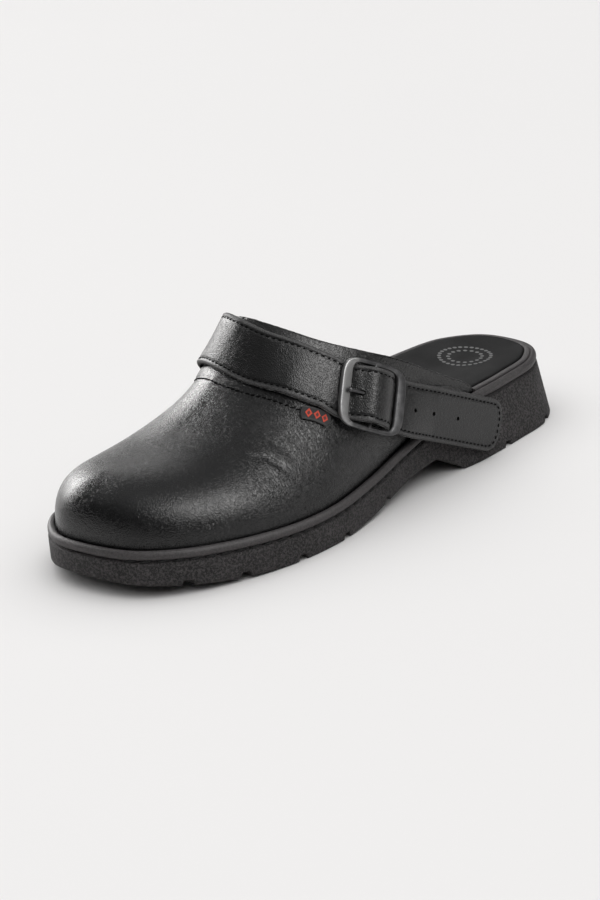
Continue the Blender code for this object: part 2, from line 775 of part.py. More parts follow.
def build_frame(buckle, finish, collection, cutters):
    shell = Shell()
    count = 36

    def ring(size, shrink, out):
        a, b, power = size[0] - shrink, size[1] - shrink, size[2]
        points = []
        for angle in np.linspace(0, 2 * math.pi, count + 1)[:-1]:
            c, s = math.cos(angle), math.sin(angle)
            u = a * math.copysign(abs(c) ** (2 / power), c)
            w = b * math.copysign(abs(s) ** (2 / power), s)
            points.append(buckle.at(u, buckle.tilt(u) + out, w))
        return shell.add(points)

    h, e = FRAME_THICK / 2, FRAME_EDGE
    rings = [
        ring(FRAME_OUTER, e, -h),
        ring(FRAME_OUTER, 0, e - h),
        ring(FRAME_OUTER, 0, h - e),
        ring(FRAME_OUTER, e, h),
        ring(FRAME_WINDOW, -e, h),
        ring(FRAME_WINDOW, 0, h - e),
        ring(FRAME_WINDOW, 0, e - h),
        ring(FRAME_WINDOW, -e, -h),
    ]
    for below, above in zip(rings, rings[1:] + rings[:1]):
        shell.bridge(below, above)
    frame = shell.build("buckle_frame", finish, collection)
    reach = FRAME_WINDOW[1] + 1.2 * MM
    bar = pin("buckle_bar", buckle.at(0, buckle.bar), buckle.across, BAR_RADIUS, reach, cutters)
    cut(frame, bar, "UNION")
    return frame


def build_prong(buckle, finish, collection):
    points = []
    for angle in np.radians(np.arange(-170, 91, 20)):
        points.append(buckle.at(buckle.ring * math.cos(angle), buckle.bar + buckle.ring * math.sin(angle)))
    for along in (-5.0, -10.0, -14.0, -PRONG_TIP / MM):
        points.append(buckle.at(along * MM, prong_height(buckle, along * MM)))
    line = Line(points, [buckle.across] * len(points))
    body = line.length - PRONG_RADIUS
    places = list(np.linspace(0, body, 26)) + [body + PRONG_RADIUS * s for s in (0.5, 0.85, 0.98)]

    def section(s):
        r = PRONG_RADIUS * math.sqrt(max(1 - (max(s - body, 0.0) / PRONG_RADIUS) ** 2, 0.0))
        return [(r * math.cos(a), r * math.sin(a)) for a in np.linspace(0, 2 * math.pi, 9)[:-1]]

    return sweep("buckle_prong", line, places, section, finish, collection)


def build_chape(buckle, finish, collection, cutters):
    rivet, rivet_out = on_wall("outer", *RIVET_PLACE)
    middle, middle_out = on_wall("outer", 26.0 * MM, 41.5 * MM)
    back = unit(rivet - middle)
    low = CLEAR + CHAPE_THICK / 2
    high = low + CHAPE_THICK + GAP
    near = buckle.base(14 * MM)
    turn = BAR_RADIUS + GAP + CHAPE_THICK / 2

    def layer(lift):
        return [
            (rivet + back * CHAPE_END_HALF * 1.1 + rivet_out * lift, rivet_out),
            (rivet + rivet_out * lift, rivet_out),
            (middle + middle_out * lift, middle_out),
            (buckle.at(14 * MM, near + lift), buckle.out),
        ]

    def bend(degrees):
        a = math.radians(degrees)
        radial = buckle.along * math.cos(a) + buckle.out * math.sin(a)
        return (buckle.at(0, buckle.bar) + radial * turn, radial)

    under = [(p, -o) for p, o in layer(low)]
    under.append((buckle.at(6 * MM, 0.45 * (near + low) + 0.55 * (buckle.bar - turn)), -buckle.out))
    over = [(buckle.at(6 * MM, 0.5 * (near + high + buckle.bar + turn)), buckle.out)]
    over += layer(high)[::-1]
    rows = under + [bend(a) for a in (-78, -115, -150, -180, -210, -245, -282)] + over
    line = Line([p for p, _ in rows], [o for _, o in rows])
    end = CHAPE_END_HALF * 1.1
    half_length = line.length / 2
    tips = [end * (1 - math.cos(math.radians(a))) for a in (20, 45, 70, 90)]
    bends = (line.s[4], line.s[len(rows) - 5])
    middle_places = [
        *np.linspace(tips[-1], bends[0], 9)[:-1],
        *np.linspace(*bends, 21)[:-1],
        *np.linspace(bends[1], line.length - tips[-1], 9),
    ]
    places = tips[:-1] + middle_places + [line.length - t for t in tips[:-1]][::-1]

    def section(s):
        d = min(s, line.length - s)
        grown = min(max(d - end, 0) / (0.55 * half_length), 1.0)
        half = CHAPE_END_HALF + (CHAPE_HALF - CHAPE_END_HALF) * grown
        if d < end:
            half = CHAPE_END_HALF * math.sqrt(max(1 - (1 - d / end) ** 2, 0.0))
        return strip_section(half, CHAPE_THICK, 0.25 * MM)

    chape = sweep("buckle_chape", line, places, section, finish, collection)
    shell = Shell()
    wide = PRONG_RADIUS + 0.5 * MM
    ends = [
        shell.add(
            [
                buckle.at(u * MM, buckle.bar + n * MM, w)
                for u, n in ((-6, -5.2), (5.5, -5.2), (5.5, 4.5), (-6, 4.5))
            ]
        )
        for w in (-wide, wide)
    ]
    shell.bridge(*ends)
    shell.faces.extend((tuple(ends[0]), tuple(ends[1])))
    cut(chape, shell.build("chape_slot_cut", None, cutters))
    point, out = rivet_axis("outer")
    cut(chape, pin("chape_rivet_cut", point, out, RIVET_SHANK + GAP, 9 * MM, cutters))
    return chape


def rivet_axis(side):
    return on_wall(side, *RIVET_PLACE)


def build_rivet(name, side, layers, finish, collection):
    """Turned rivet: domed head outside, shank, washer inside the upper."""
    point, out = rivet_axis(side)
    head, washer = layers + GAP, -UPPER_THICK - GAP
    radius, rise = RIVET_HEAD
    profile = [(0.0, head + rise), (0.45 * radius, head + 0.9 * rise), (0.8 * radius, head + 0.6 * rise)]
    profile += [(radius, head + 0.15 * rise), (radius, head), (RIVET_SHANK, head), (RIVET_SHANK, washer)]
    rim, base = RIVET_WASHER[0], washer - RIVET_WASHER[1]
    profile += [(rim, washer), (rim, base), (0.0, base)]
    cross = unit(np.cross(out, (0.0, 0.0, 1.0)))
    up = np.cross(cross, out)
    shell = Shell()
    sides = 16
    rings = []
    for radius_here, height in profile:
        if radius_here == 0.0:
            rings.append(shell.add([point + out * height]) * sides)
            continue
        turn = np.linspace(0, 2 * math.pi, sides + 1)[:-1]
        ways = [cross * math.cos(a) + up * math.sin(a) for a in turn]
        rings.append(shell.add([point + out * height + radius_here * way for way in ways]))
    for below, above in zip(rings, rings[1:]):
        shell.bridge(below, above)
    return shell.build(name, finish, collection)


def build_label(finish, collection):
    rows = [around(degrees, y * MM) for degrees, y in LABEL_LINE]
    track = Line([p for p, _ in rows], [o for _, o in rows])
    lying = laid(track, 0.0, track.length, lambda s: LABEL_HALF, LABEL_THICK)
    line = Line([p for p, _ in lying], [o for _, o in lying])
    places = np.linspace(0, line.length, 6)
    return sweep(
        "label", line, places, lambda s: strip_section(LABEL_HALF, LABEL_THICK, 0.15 * MM), finish, collection
    )


def finish_of(name, colour, roughness, metallic=0.0):
    made = bpy.data.materials.new(name)
    made.use_nodes = True
    shader = made.node_tree.nodes["Principled BSDF"]
    shader.inputs["Base Color"].default_value = (*colour, 1.0)
    shader.inputs["Roughness"].default_value = roughness
    shader.inputs["Metallic"].default_value = metallic
    return made


def main():
    for thing in list(bpy.data.objects):
        bpy.data.objects.remove(thing, do_unlink=True)
    parts = bpy.data.collections.new("chef_clog")
    cutters = bpy.data.collections.new("cutters")
    for group in (parts, cutters):
        bpy.context.scene.collection.children.link(group)
    rubber = finish_of("sole_rubber", (0.045, 0.040, 0.040), 0.7)
    leather = finish_of("black_leather", (0.02, 0.02, 0.021), 0.42)
    lining = finish_of("insole_fabric", (0.03, 0.03, 0.032), 0.75)
    strap_leather = finish_of("strap_leather", (0.022, 0.022, 0.023), 0.45)
    steel = finish_of("buckle_steel", (0.25, 0.25, 0.26), 0.32, 1.0)
    fabric = finish_of("label_fabric", (0.03, 0.028, 0.028), 0.8)
    build_sole(rubber, parts, cutters)
    build_insole(lining, parts)
    upper = build_upper(leather, parts)
    for side in ("outer", "inner"):
        point, out = rivet_axis(side)
        cut(upper, pin(f"upper_rivet_cut_{side}", point, out, RIVET_SHANK + GAP, 9 * MM, cutters))
    buckle = Buckle()
    build_strap(buckle, strap_leather, parts, cutters)
    build_frame(buckle, steel, parts, cutters)
    build_prong(buckle, steel, parts)
    build_chape(buckle, strap_leather, parts, cutters)
    build_rivet("rivet_lateral", "outer", CLEAR + 2 * CHAPE_THICK + GAP, steel, parts)
    build_rivet("rivet_medial", "inner", CLEAR + STRAP_THICK, steel, parts)
    build_label(fabric, parts)


main()
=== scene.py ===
import logging
import math
from dataclasses import dataclass, field
from enum import Enum
from typing import Callable, Iterable, Sequence

import bmesh
import bpy
import numpy as np
from mathutils import Matrix, Vector, noise


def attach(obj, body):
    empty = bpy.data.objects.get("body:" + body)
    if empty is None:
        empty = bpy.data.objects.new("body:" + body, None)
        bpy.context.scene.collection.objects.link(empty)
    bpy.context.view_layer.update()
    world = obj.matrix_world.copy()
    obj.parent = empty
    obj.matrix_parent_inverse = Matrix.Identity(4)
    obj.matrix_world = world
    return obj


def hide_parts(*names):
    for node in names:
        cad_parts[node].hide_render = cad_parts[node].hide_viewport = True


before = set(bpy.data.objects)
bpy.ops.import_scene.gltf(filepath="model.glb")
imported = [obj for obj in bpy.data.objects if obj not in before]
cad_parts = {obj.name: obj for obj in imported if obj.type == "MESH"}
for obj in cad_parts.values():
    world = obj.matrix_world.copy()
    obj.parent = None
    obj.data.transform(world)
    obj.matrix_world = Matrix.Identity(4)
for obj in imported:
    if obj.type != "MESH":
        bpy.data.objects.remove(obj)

# Looks of a left leather work clog: toe towards -Y, outer side towards +X, floor at z = 0.
# Tables are in millimetres in the last's own frame. The classes work in metres in that frame, and solid()
# moves each mesh by -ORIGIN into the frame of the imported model.

MM = 0.001
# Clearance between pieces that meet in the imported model.
GAP = 0.3 * MM
ORIGIN = np.array((0.6, 3.25, 0.0)) * MM

# Vertices closer than this are one: of a piece, of the sole, of the upper's halves.
WELD, SOLE_WELD, SEAM_WELD = 2e-6, 5e-6, 2e-5

Colour = Place = tuple[float, float, float]
Pair = tuple[float, float]
Points = np.ndarray
Mesh = bmesh.types.BMesh
Finish = bpy.types.Material
Thing = bpy.types.Object

# Outline of the sole from toe to heel: station, inner edge, outer edge.
PLAN_ROWS = (
    (-143.1, -10.0, -10.0), (-136.9, -29.5, 20.8), (-121.3, -45.4, 36.4), (-97.7, -51.9, 47.3),
    (-70.0, -53.2, 53.5), (-42.0, -50.2, 54.1), (-14.0, -44.1, 49.1), (14.0, -37.9, 43.0),
    (43.0, -35.6, 39.2), (72.0, -36.1, 37.1), (100.0, -36.6, 34.5), (125.4, -32.2, 29.3),
    (141.2, -17.4, 15.2), (144.4, -2.0, -2.0),
)
# Along the foot: station, crest of the welt, flare of the heel wall, dish of the footbed.
FOOT_ROWS = (
    (-144.0, 22.9, 0.0, 0.0), (-120.0, 20.7, 0.0, 0.2), (-90.0, 18.6, 0.0, 0.8), (-60.0, 17.3, 0.0, 1.0),
    (-30.0, 17.9, 0.0, 0.7), (0.0, 20.6, 0.0, 0.4), (30.0, 25.6, 0.0, 0.5), (60.0, 30.1, 5.2, 1.2),
    (100.0, 31.3, 5.2, 2.0), (144.4, 32.0, 5.2, 0.2),
)
# The last over the sole: station, ridge of the instep, its place across, fullness of the section.
LAST_ROWS = (
    (-118.0, 48.0, -7.0, 2.7), (-105.0, 48.0, -7.0, 2.6), (-90.0, 49.4, -6.0, 2.5), (-75.0, 53.4, -6.0, 2.3),
    (-62.0, 58.8, -6.0, 2.1), (-52.0, 65.2, -6.0, 1.9), (-42.0, 74.2, -6.0, 1.8), (-32.0, 88.6, -6.0, 1.75),
    (-15.0, 100.0, -6.0, 1.85), (10.0, 112.0, -3.0, 2.2), (76.0, 118.0, 0.0, 2.9),
)
# Top line of the upper from the side: station, height.
COLLAR_ROWS = (
    (-32.0, 92.6), (-16.0, 81.8), (2.0, 72.8), (20.0, 64.4), (45.0, 50.5), (61.0, 41.5),
    (70.0, 36.5), (74.0, 33.6), (75.6, 31.4),
)
# Underside: station, height over the floor, ahead of the ball and under the arch.
TOE_ROWS = ((-150.0, 10.6), (-142.0, 7.9), (-125.0, 4.9), (-108.0, 2.7), (-90.0, 1.0), (-73.0, 0.0))
ARCH_ROWS = ((-38.0, 0.0), (-20.0, 1.3), (0.0, 4.0), (20.0, 7.2), (40.0, 9.6))
HEEL_BREAST = 56.6
LUG_GROOVES = (-118.6, -94.4, -65.0, -36.4, -1.5, 89.3, 124.3)
# Middle of the strap over the upper: degrees round the section from the outer side, station.
STRAP_LINE = (
    (173.1, 40.0), (164.3, 18.0), (152.5, -3.0), (142.0, -16.6), (128.0, -27.5), (112.0, -34.1),
    (90.0, -37.7), (72.0, -37.5), (54.0, -32.0),
)
# Creases of the vamp, as the strap's line: width, depth, then the places it runs through.
CREASES = (
    (1.5, 0.42, (47.0, -69.7), (40.3, -64.5), (33.0, -61.6), (25.2, -57.3)),
    (1.2, 0.24, (58.7, -52.0), (50.3, -50.6), (41.4, -48.7), (35.0, -46.2)),
    (1.2, 0.26, (60.4, -60.2), (51.4, -58.7), (41.4, -56.4), (32.0, -52.0)),
    (1.7, 0.28, (36.9, -45.9), (28.0, -39.3), (19.0, -29.9)),
    (1.1, 0.20, (61.0, -67.9), (55.0, -67.0), (49.5, -65.0)),
    (1.6, 0.26, (35.8, -39.3), (26.9, -30.4), (18.5, -18.5)),
    (2.2, 0.24, (34.1, -73.0), (27.0, -68.0), (21.3, -63.0)),
    (1.6, 0.30, (128.0, -66.0), (138.0, -62.0), (149.0, -57.0)),
    (1.6, 0.26, (124.0, -56.0), (136.0, -52.0), (148.0, -46.0)),
)
# Stitched seam of the vamp, below the strap.
SEAM_LINE = (
    (150.0, -28.0), (139.0, -35.5), (128.0, -41.5), (112.0, -46.6), (98.0, -49.2), (84.0, -50.6),
    (76.0, -50.0), (67.6, -48.2), (59.8, -45.4), (52.0, -42.4), (46.4, -39.9), (43.0, -38.2),
)
# Sewn tag below the strap: ends and middle of its line.
TAG_LINE = ((43.2, -38.9), (36.4, -33.9), (29.6, -28.3))


class Side(Enum):
    """Long sides of the shoe."""

    OUTER = "outer"
    INNER = "inner"


class Layer(Enum):
    """Names of the values that the shaders read from the vertices."""

    DEPTH = "depth"
    FLEX = "flex"
    POLISH = "polish"
    ALONG = "along"
    ACROSS = "across"


class Slot(Enum):
    """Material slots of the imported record."""

    SOLE = "sole_rubber"
    INSOLE = "insole_fabric"
    LEATHER = "black_leather"
    STRAP = "strap_leather"
    METAL = "buckle_steel"
    TAG = "label_fabric"


def unit(vector: Points) -> Points:
    """Turn vectors into directions of length one."""
    vector = np.asarray(vector, float)
    return vector / np.linalg.norm(vector, axis=-1, keepdims=True)


def ease(value: Points, low: float, high: float) -> Points:
    """Smooth step from 0 at low to 1 at high."""
    share = np.clip((np.asarray(value, float) - low) / (high - low), 0.0, 1.0)
    return share * share * (3 - 2 * share)


def running(steps: Points) -> Points:
    """Running total of steps, from 0."""
    return np.concatenate([[0.0], np.cumsum(steps)])


def reach_of(path: Points) -> Points:
    """Distance along a path at each of its points."""
    return running(np.linalg.norm(np.diff(path, axis=0), axis=1))


def between(x: Points, places: Points, rows: Points) -> Points:
    """Rows of three values at x, in straight lines between those at places."""
    return np.stack([np.interp(x, places, rows[:, k]) for k in range(3)], axis=-1)


def wrapped(grid: Points) -> Points:
    """Grid with each row closed by its first point."""
    return np.concatenate([grid, grid[:, :1]], axis=1)


def round_end(half: float, reach: float, length: float) -> float:
    """Half width of a strip at a distance from its end, which is round over a length."""
    return half * math.sqrt(max(1 - (1 - reach / length) ** 2, 0.0))


class Curve:
    """Values at places, joined by smooth curves.

    Args:
        places: rising places along the curve.
        values: a value, or a row of values, for each place.
        slopes: slope at each place; worked out from the values when left out.
    """

    def __init__(self, places: Points, values: Points, slopes: Points | None = None) -> None:
        """Keep the points; the class names the arguments."""
        self.places = np.asarray(places, float)
        self.values = np.asarray(values, float)
        self.slopes = np.gradient(self.values, self.places, axis=0) if slopes is None else slopes

    def _span(self, x: Points) -> tuple[Points, Points, Points, Points]:
        """Span that each place lies on.

        Args:
            x: the places.

        Returns:
            Its first and last row, its length and the share along it.
        """
        x = np.clip(np.asarray(x, float), self.places[0], self.places[-1])
        row = np.clip(np.searchsorted(self.places, x, side="right") - 1, 0, len(self.places) - 2)
        span = self.places[row + 1] - self.places[row]
        share = (x - self.places[row]) / span
        if self.values.ndim > 1:
            span, share = np.expand_dims(span, -1), np.expand_dims(share, -1)
        return row, row + 1, span, share

    def at(self, x: Points) -> Points:
        """Value at each place.

        Args:
            x: the places.

        Returns:
            The values.
        """
        a, b, span, s = self._span(x)
        return (
            (1 + 2 * s) * (1 - s) ** 2 * self.values[a] + s * (1 - s) ** 2 * span * self.slopes[a]
            + s * s * (3 - 2 * s) * self.values[b] + s * s * (s - 1) * span * self.slopes[b]
        )

    def slope(self, x: Points) -> Points:
        """Slope at each place."""
        a, b, span, s = self._span(x)
        rise = 6 * s * (1 - s) * (self.values[b] - self.values[a]) / span
        return rise + (1 - 4 * s + 3 * s * s) * self.slopes[a] + (3 * s * s - 2 * s) * self.slopes[b]


def columns(rows: Sequence[Sequence[float]]) -> list[Curve]:
    """One curve for each column of a table after its first, which holds the stations."""
    places, *values = np.array(rows, float).T * MM
    return [Curve(places, column) for column in values]


class Plan:
    """Outline of the sole as two edges with shared stations."""

    def __init__(self) -> None:
        """Lay the edges through their table."""
        y, inner, outer = (np.array(PLAN_ROWS) * MM).T
        step = 0.5 * (np.hypot(np.diff(y), np.diff(inner)) + np.hypot(np.diff(y), np.diff(outer)))
        places = running(step)
        self.length = float(places[-1])
        self.y = Curve(places, y, self._ended(y, places, 0.0))
        self.edges = {
            Side.INNER: Curve(places, inner, self._ended(inner, places, -1.0)),
            Side.OUTER: Curve(places, outer, self._ended(outer, places, 1.0)),
        }

    @staticmethod
    def _ended(values: Points, places: Points, end: float) -> Points:
        """Slopes of an edge with those of its two ends set."""
        slopes = np.gradient(values, places)
        slopes[0], slopes[-1] = end, -end
        return slopes

    def edge(self, side: Side, t: Points, inset: Points = 0.0) -> tuple[Points, Points]:
        """Points of one edge, moved inwards.

        Args:
            side: which edge.
            t: places along the outline.
            inset: distance inwards.

        Returns:
            The x and the y of the points.
        """
        x, y, dx, dy = self.edges[side].at(t), self.y.at(t), self.edges[side].slope(t), self.y.slope(t)
        way = inset / np.hypot(dx, dy) * (-1.0 if side is Side.OUTER else 1.0)
        return x + way * dy, y - way * dx

    def station(self, y: float) -> float:
        """Place along the outline where the station is y."""
        t = np.linspace(0.0, self.length, 4001)
        return float(np.interp(y, self.y.at(t), t))

    def loop(self, t: Points, inset: Points, height: Callable[[Points, Points], Points]) -> Points:
        """Closed loop of the outline at an inset.

        Args:
            t: places from toe to heel.
            inset: distance inwards, one or one for each place.
            height: z from the places and their stations.

        Returns:
            Points up the outer side and back down the inner side.
        """
        inset = np.broadcast_to(inset, t.shape)
        outer, inner = self.edge(Side.OUTER, t, inset), self.edge(Side.INNER, t, inset)
        x = np.concatenate([outer[0], inner[0][-2:0:-1]])
        y = np.concatenate([outer[1], inner[1][-2:0:-1]])
        return np.stack([x, y, height(np.concatenate([t, t[-2:0:-1]]), y)], axis=-1)


@dataclass
class Last:
    """Form of the foot that sole, insole and upper share."""

    pan_drop: float = 2.3 * MM
    upper_inset: float = 3.55 * MM
    insole_inset: float = 6.3 * MM
    toe_ridge: float = -117.0 * MM
    fan_end: float = -80.0 * MM
    upper_end: float = 75.6 * MM
    wall: float = 2.0 * MM
    touch: float = 2.0 * MM
    plan: Plan = field(default_factory=Plan)

    def __post_init__(self) -> None:
        """Lay the curves of the last through their tables."""
        self.welt, self.flare, self.dish = columns(FOOT_ROWS)
        self.ridge, self.across, self.full = columns(LAST_ROWS)
        self.full = Curve(self.full.places, self.full.values / MM)
        self.collar = columns(COLLAR_ROWS)[0]
        self.fan_place = self.plan.station(self.fan_end)
        self.throat = self._throat()
        self.cloud = self._cloud()

    def _throat(self) -> float:
        """Station at which the ridge reaches the top line."""
        y = np.linspace(-34.0, -20.0, 14001) * MM
        return float(y[np.argmax(self.ridge.at(y) >= self.collar.at(y))])

    def ridge_station(self, t: Points) -> Points:
        """Station on the ridge for a place on the outline; it fans out over the toe.

        Args:
            t: places along the outline.

        Returns:
            The stations.
        """
        t = np.asarray(t, float)
        slope = float(self.plan.y.slope(self.fan_place))
        fan = Curve([0.0, self.fan_place], [self.toe_ridge, self.fan_end], np.array([0.3, slope]))
        return np.where(t < self.fan_place, fan.at(t), self.plan.y.at(t))

    def skin(self, side: Side, t: Points, angle: Points) -> Points:
        """Outside of the upper.

        Args:
            side: which side of the shoe.
            t: places along the outline.
            angle: 0 at the sole, a quarter turn at the ridge.

        Returns:
            Points of the skin.
        """
        t, angle = np.broadcast_arrays(np.asarray(t, float), angle)
        x0, y0 = self.plan.edge(side, t, self.upper_inset)
        z0 = self.welt.at(y0) - self.pan_drop + GAP
        y1 = self.ridge_station(t)
        x1, z1, power = self.across.at(y1), self.ridge.at(y1), 2.0 / self.full.at(y1)
        out, up = np.cos(angle) ** power, np.sin(angle) ** power
        y_top = np.where(t < self.fan_place, y1, y0)
        return np.stack([x1 + (x0 - x1) * out, y_top + (y0 - y_top) * out, z0 + (z1 - z0) * up], axis=-1)

    def top_angle(self, side: Side, t: float) -> float:
        """Angle at which the skin ends: at the ridge, or at the top line behind the throat.

        Args:
            side: which side of the shoe.
            t: place along the outline.

        Returns:
            The angle.
        """
        y0 = float(self.plan.edge(side, np.array([t]), self.upper_inset)[1][0])
        if y0 <= self.throat:
            return math.pi / 2
        y1, z0 = float(self.ridge_station(t)), float(self.welt.at(y0)) - self.pan_drop + GAP
        share = float(np.clip((self.collar.at(y0) - z0) / (self.ridge.at(y1) - z0), 0.0, 1.0))
        return math.asin(share ** (float(self.full.at(y1)) / 2.0))

    def frame_at(self, side: Side, t: float, angle: float) -> tuple[Points, Points]:
        """Point on the skin and its outward direction.

        Args:
            side: which side of the shoe.
            t: place along the outline.
            angle: angle round the section.

        Returns:
            The point and the direction.
        """
        step, turn = 0.2 * MM, 0.01
        angle = min(angle, math.pi / 2 - turn)
        places = np.array([t, t + step, t - step, t, t])
        p = self.skin(side, places, np.array([angle, angle, angle, angle + turn, angle - turn]))
        out = np.cross(p[1] - p[2], p[3] - p[4])
        way = np.array([1.0 if side is Side.OUTER else -1.0, 0.0, 0.6])
        return p[0], unit(out if out @ way > 0 else -out)

    def around(self, degrees: float, y: float) -> tuple[Points, Points]:
        """Skin point and direction for a place in a table.

        Args:
            degrees: degrees round the section from the outer side.
            y: station in millimetres.

        Returns:
            The point and the direction.
        """
        side = Side.OUTER if degrees <= 90 else Side.INNER
        angle = math.radians(degrees if degrees <= 90 else 180 - degrees)
        return self.frame_at(side, self.plan.station(y * MM), angle)

    def on_wall(self, side: Side, y: float, z: float) -> tuple[Points, Points]:
        """Skin point and direction on the side of the upper.

        Args:
            side: which side of the shoe.
            y: station.
            z: height over the floor.

        Returns:
            The point and the direction.
        """
        z0 = self.welt.at(y) - self.pan_drop + GAP
        share = float((z - z0) / (self.ridge.at(y) - z0))
        return self.frame_at(side, self.plan.station(y), math.asin(share ** (float(self.full.at(y)) / 2.0)))

    def _cloud(self) -> Points:
        """Close points all over the outside of the upper, behind the toe."""
        places = np.linspace(self.plan.station(-75 * MM), self.plan.station(self.upper_end), 150)
        rows = [(side, t, np.linspace(0.03, self.top_angle(side, t), 60)) for side in Side for t in places]
        return np.concatenate([self.skin(*row) for row in rows])

    def filled(self, ring: Points, t: Points, share: Points, dished: bool = True) -> Points:
        """Grid of points between the two halves of a loop of the outline.

        Args:
            ring: the loop.
            t: its places from toe to heel.
            share: shares of the way across.
            dished: sink the grid as the footbed is.

        Returns:
            Places by shares of points.
        """
        count = len(t)
        outer = ring[:count]
        inner = np.concatenate([ring[:1], ring[:count - 1:-1], ring[count - 1:count]])
        grid = outer[:, None] + (inner - outer)[:, None] * share[None, :, None]
        if dished:
            grid[..., 2] -= self.dish.at(self.plan.y.at(t))[:, None] * (1 - (2 * share - 1) ** 2) ** 2
        return grid

    def standoff(self, point: Points, along: Points, out: Points, half: float) -> float:
        """Height of the upper over a flat strip that is laid at a point.

        Args:
            point: the point.
            along: direction of the strip.
            out: its outward direction.
            half: its half width.

        Returns:
            The height over the point.
        """
        away = self.cloud - point
        near = (abs(away @ along) < self.touch) & (abs(away @ np.cross(out, along)) < half)
        return float((away[near] @ out).max()) if near.any() else 0.0


class Line:
    """Smooth line through points, each with an outward direction."""

    def __init__(self, rows: Iterable[tuple[Points, Points]]) -> None:
        """Join the points.

        Args:
            rows: points, each with its outward direction.
        """
        points, outs = (np.array(part) for part in zip(*rows))
        self.s = reach_of(points)
        self.length = float(self.s[-1])
        self.points, self.outs = Curve(self.s, points), outs

    def frames(self, s: Points) -> tuple[Points, Points, Points]:
        """Frames of the line.

        Args:
            s: distances along it.

        Returns:
            Points, directions along the line and outward directions.
        """
        s = np.asarray(s, float)
        along = unit(self.points.slope(s))
        out = between(s, self.s, self.outs)
        out = unit(out - along * np.sum(out * along, axis=-1, keepdims=True))
        return self.points.at(s), along, out


def laid(
    last: Last, track: Line, reach: float, half: Callable[[float], float], thick: float, clear: float,
    spacing: float = 4.0 * MM,
) -> list[tuple[Points, Points]]:
    """Rows of a flat strip that lies on the upper.

    Args:
        last: form of the foot.
        track: line on the skin that the strip follows.
        reach: how far it follows the line.
        half: half width of the strip at a distance.
        thick: its thickness.
        clear: gap under it.
        spacing: distance between rows.

    Returns:
        Points in the middle of the strip, with their outward directions.
    """
    count = max(int(round(reach / spacing)), 2) + 1
    places = np.linspace(0.0, reach, count)
    frames = list(zip(*track.frames(places)))
    height = np.array([last.standoff(*row, half(s)) for s, row in zip(places, frames)])
    padded = np.pad(height, 1, mode="edge")
    padded = np.pad(np.max([padded[:-2], padded[1:-1], padded[2:]], axis=0), 1, mode="edge")
    lift = np.mean([padded[:-2], padded[1:-1], padded[2:]], axis=0) + clear + thick / 2
    return [(p + out * up, out) for (p, _, out), up in zip(frames, lift)]


def sheet(points: Points, layers: dict[Layer, Points] | None = None) -> Mesh:
    """Quad sheet through a grid of points.

    Args:
        points: rows by columns of points.
        layers: values kept on the vertices, rows by columns.

    Returns:
        A new mesh.
    """
    rows, width = points.shape[:2]
    mesh = bmesh.new()
    made = bmesh.ops.create_grid(mesh, x_segments=width - 1, y_segments=rows - 1, size=1.0)
    for vert, place in zip(made["verts"], points.reshape(-1, 3)):
        vert.co = place
    for layer, values in (layers or {}).items():
        kept = mesh.verts.layers.float.new(layer.value)
        for vert, value in zip(mesh.verts, np.broadcast_to(values, (rows, width)).ravel()):
            vert[kept] = value
    return mesh


def joined(parts: Iterable[Mesh], merge: float = 0.0) -> Mesh:
    """One mesh of several.

    Args:
        parts: the meshes, which are used up.
        merge: vertices closer than this are merged.

    Returns:
        A new mesh.
    """
    whole = bmesh.new()
    for part in parts:
        carrier = bpy.data.meshes.new("carrier")
        part.to_mesh(carrier)
        part.free()
        whole.from_mesh(carrier)
        bpy.data.meshes.remove(carrier)
    if merge:
        bmesh.ops.remove_doubles(whole, verts=whole.verts, dist=merge)
    return whole


def outward(mesh: Mesh) -> Mesh:
    """Turn the faces of a closed mesh outwards."""
    bmesh.ops.recalc_face_normals(mesh, faces=mesh.faces)
    return mesh


def tube(rings: Points, layers: dict[Layer, Points] | None = None) -> Mesh:
    """Closed solid through rings of points, with a cap on each end.

    Args:
        rings: rings by points.
        layers: values kept on the vertices, rings by points.

    Returns:
        A new mesh.
    """
    wrap = {layer: wrapped(values) for layer, values in (layers or {}).items()}
    mesh = joined([sheet(wrapped(rings), wrap)], WELD)
    ends = [edge for edge in mesh.edges if edge.is_boundary]
    bmesh.ops.holes_fill(mesh, edges=ends, sides=0)
    return outward(mesh)


def coordinates(mesh: Mesh) -> tuple[Points, Points]:
    """Places and outward directions of the vertices."""
    mesh.normal_update()
    return np.array([v.co for v in mesh.verts]), np.array([v.normal for v in mesh.verts])


def moved(mesh: Mesh, places: Points) -> None:
    """Put the vertices at new places."""
    for vert, place in zip(mesh.verts, places):
        vert.co = place


def keep_values(mesh: Mesh, layer: Layer, values: Points) -> None:
    """Keep values on the vertices.

    Args:
        mesh: the mesh.
        layer: layer that the shaders read them from.
        values: one for each vertex.
    """
    kept = mesh.verts.layers.float.get(layer.value) or mesh.verts.layers.float.new(layer.value)
    for vert, value in zip(mesh.verts, values):
        vert[kept] = float(value)


def by_depth(mesh: Mesh) -> None:
    """Give each face the finish of its layer: 0 outside, 1 cut edge, 2 inside.

    Args:
        mesh: the mesh.
    """
    kept = mesh.verts.layers.float[Layer.DEPTH.value]
    for face in mesh.faces:
        depth = sum(vert[kept] for vert in face.verts) / len(face.verts)
        face.material_index = 0 if depth < 0.03 else 2 if depth > 0.97 else 1


def unroll(mesh: Mesh) -> None:
    """Turn the kept places along and across a strip into its UV map.

    Args:
        mesh: the strip.
    """
    along, across = (mesh.verts.layers.float[layer.value] for layer in (Layer.ALONG, Layer.ACROSS))
    flat = mesh.loops.layers.uv.new("UVMap")
    for face in mesh.faces:
        for corner in face.loops:
            corner[flat].uv = (corner.vert[along], corner.vert[across])


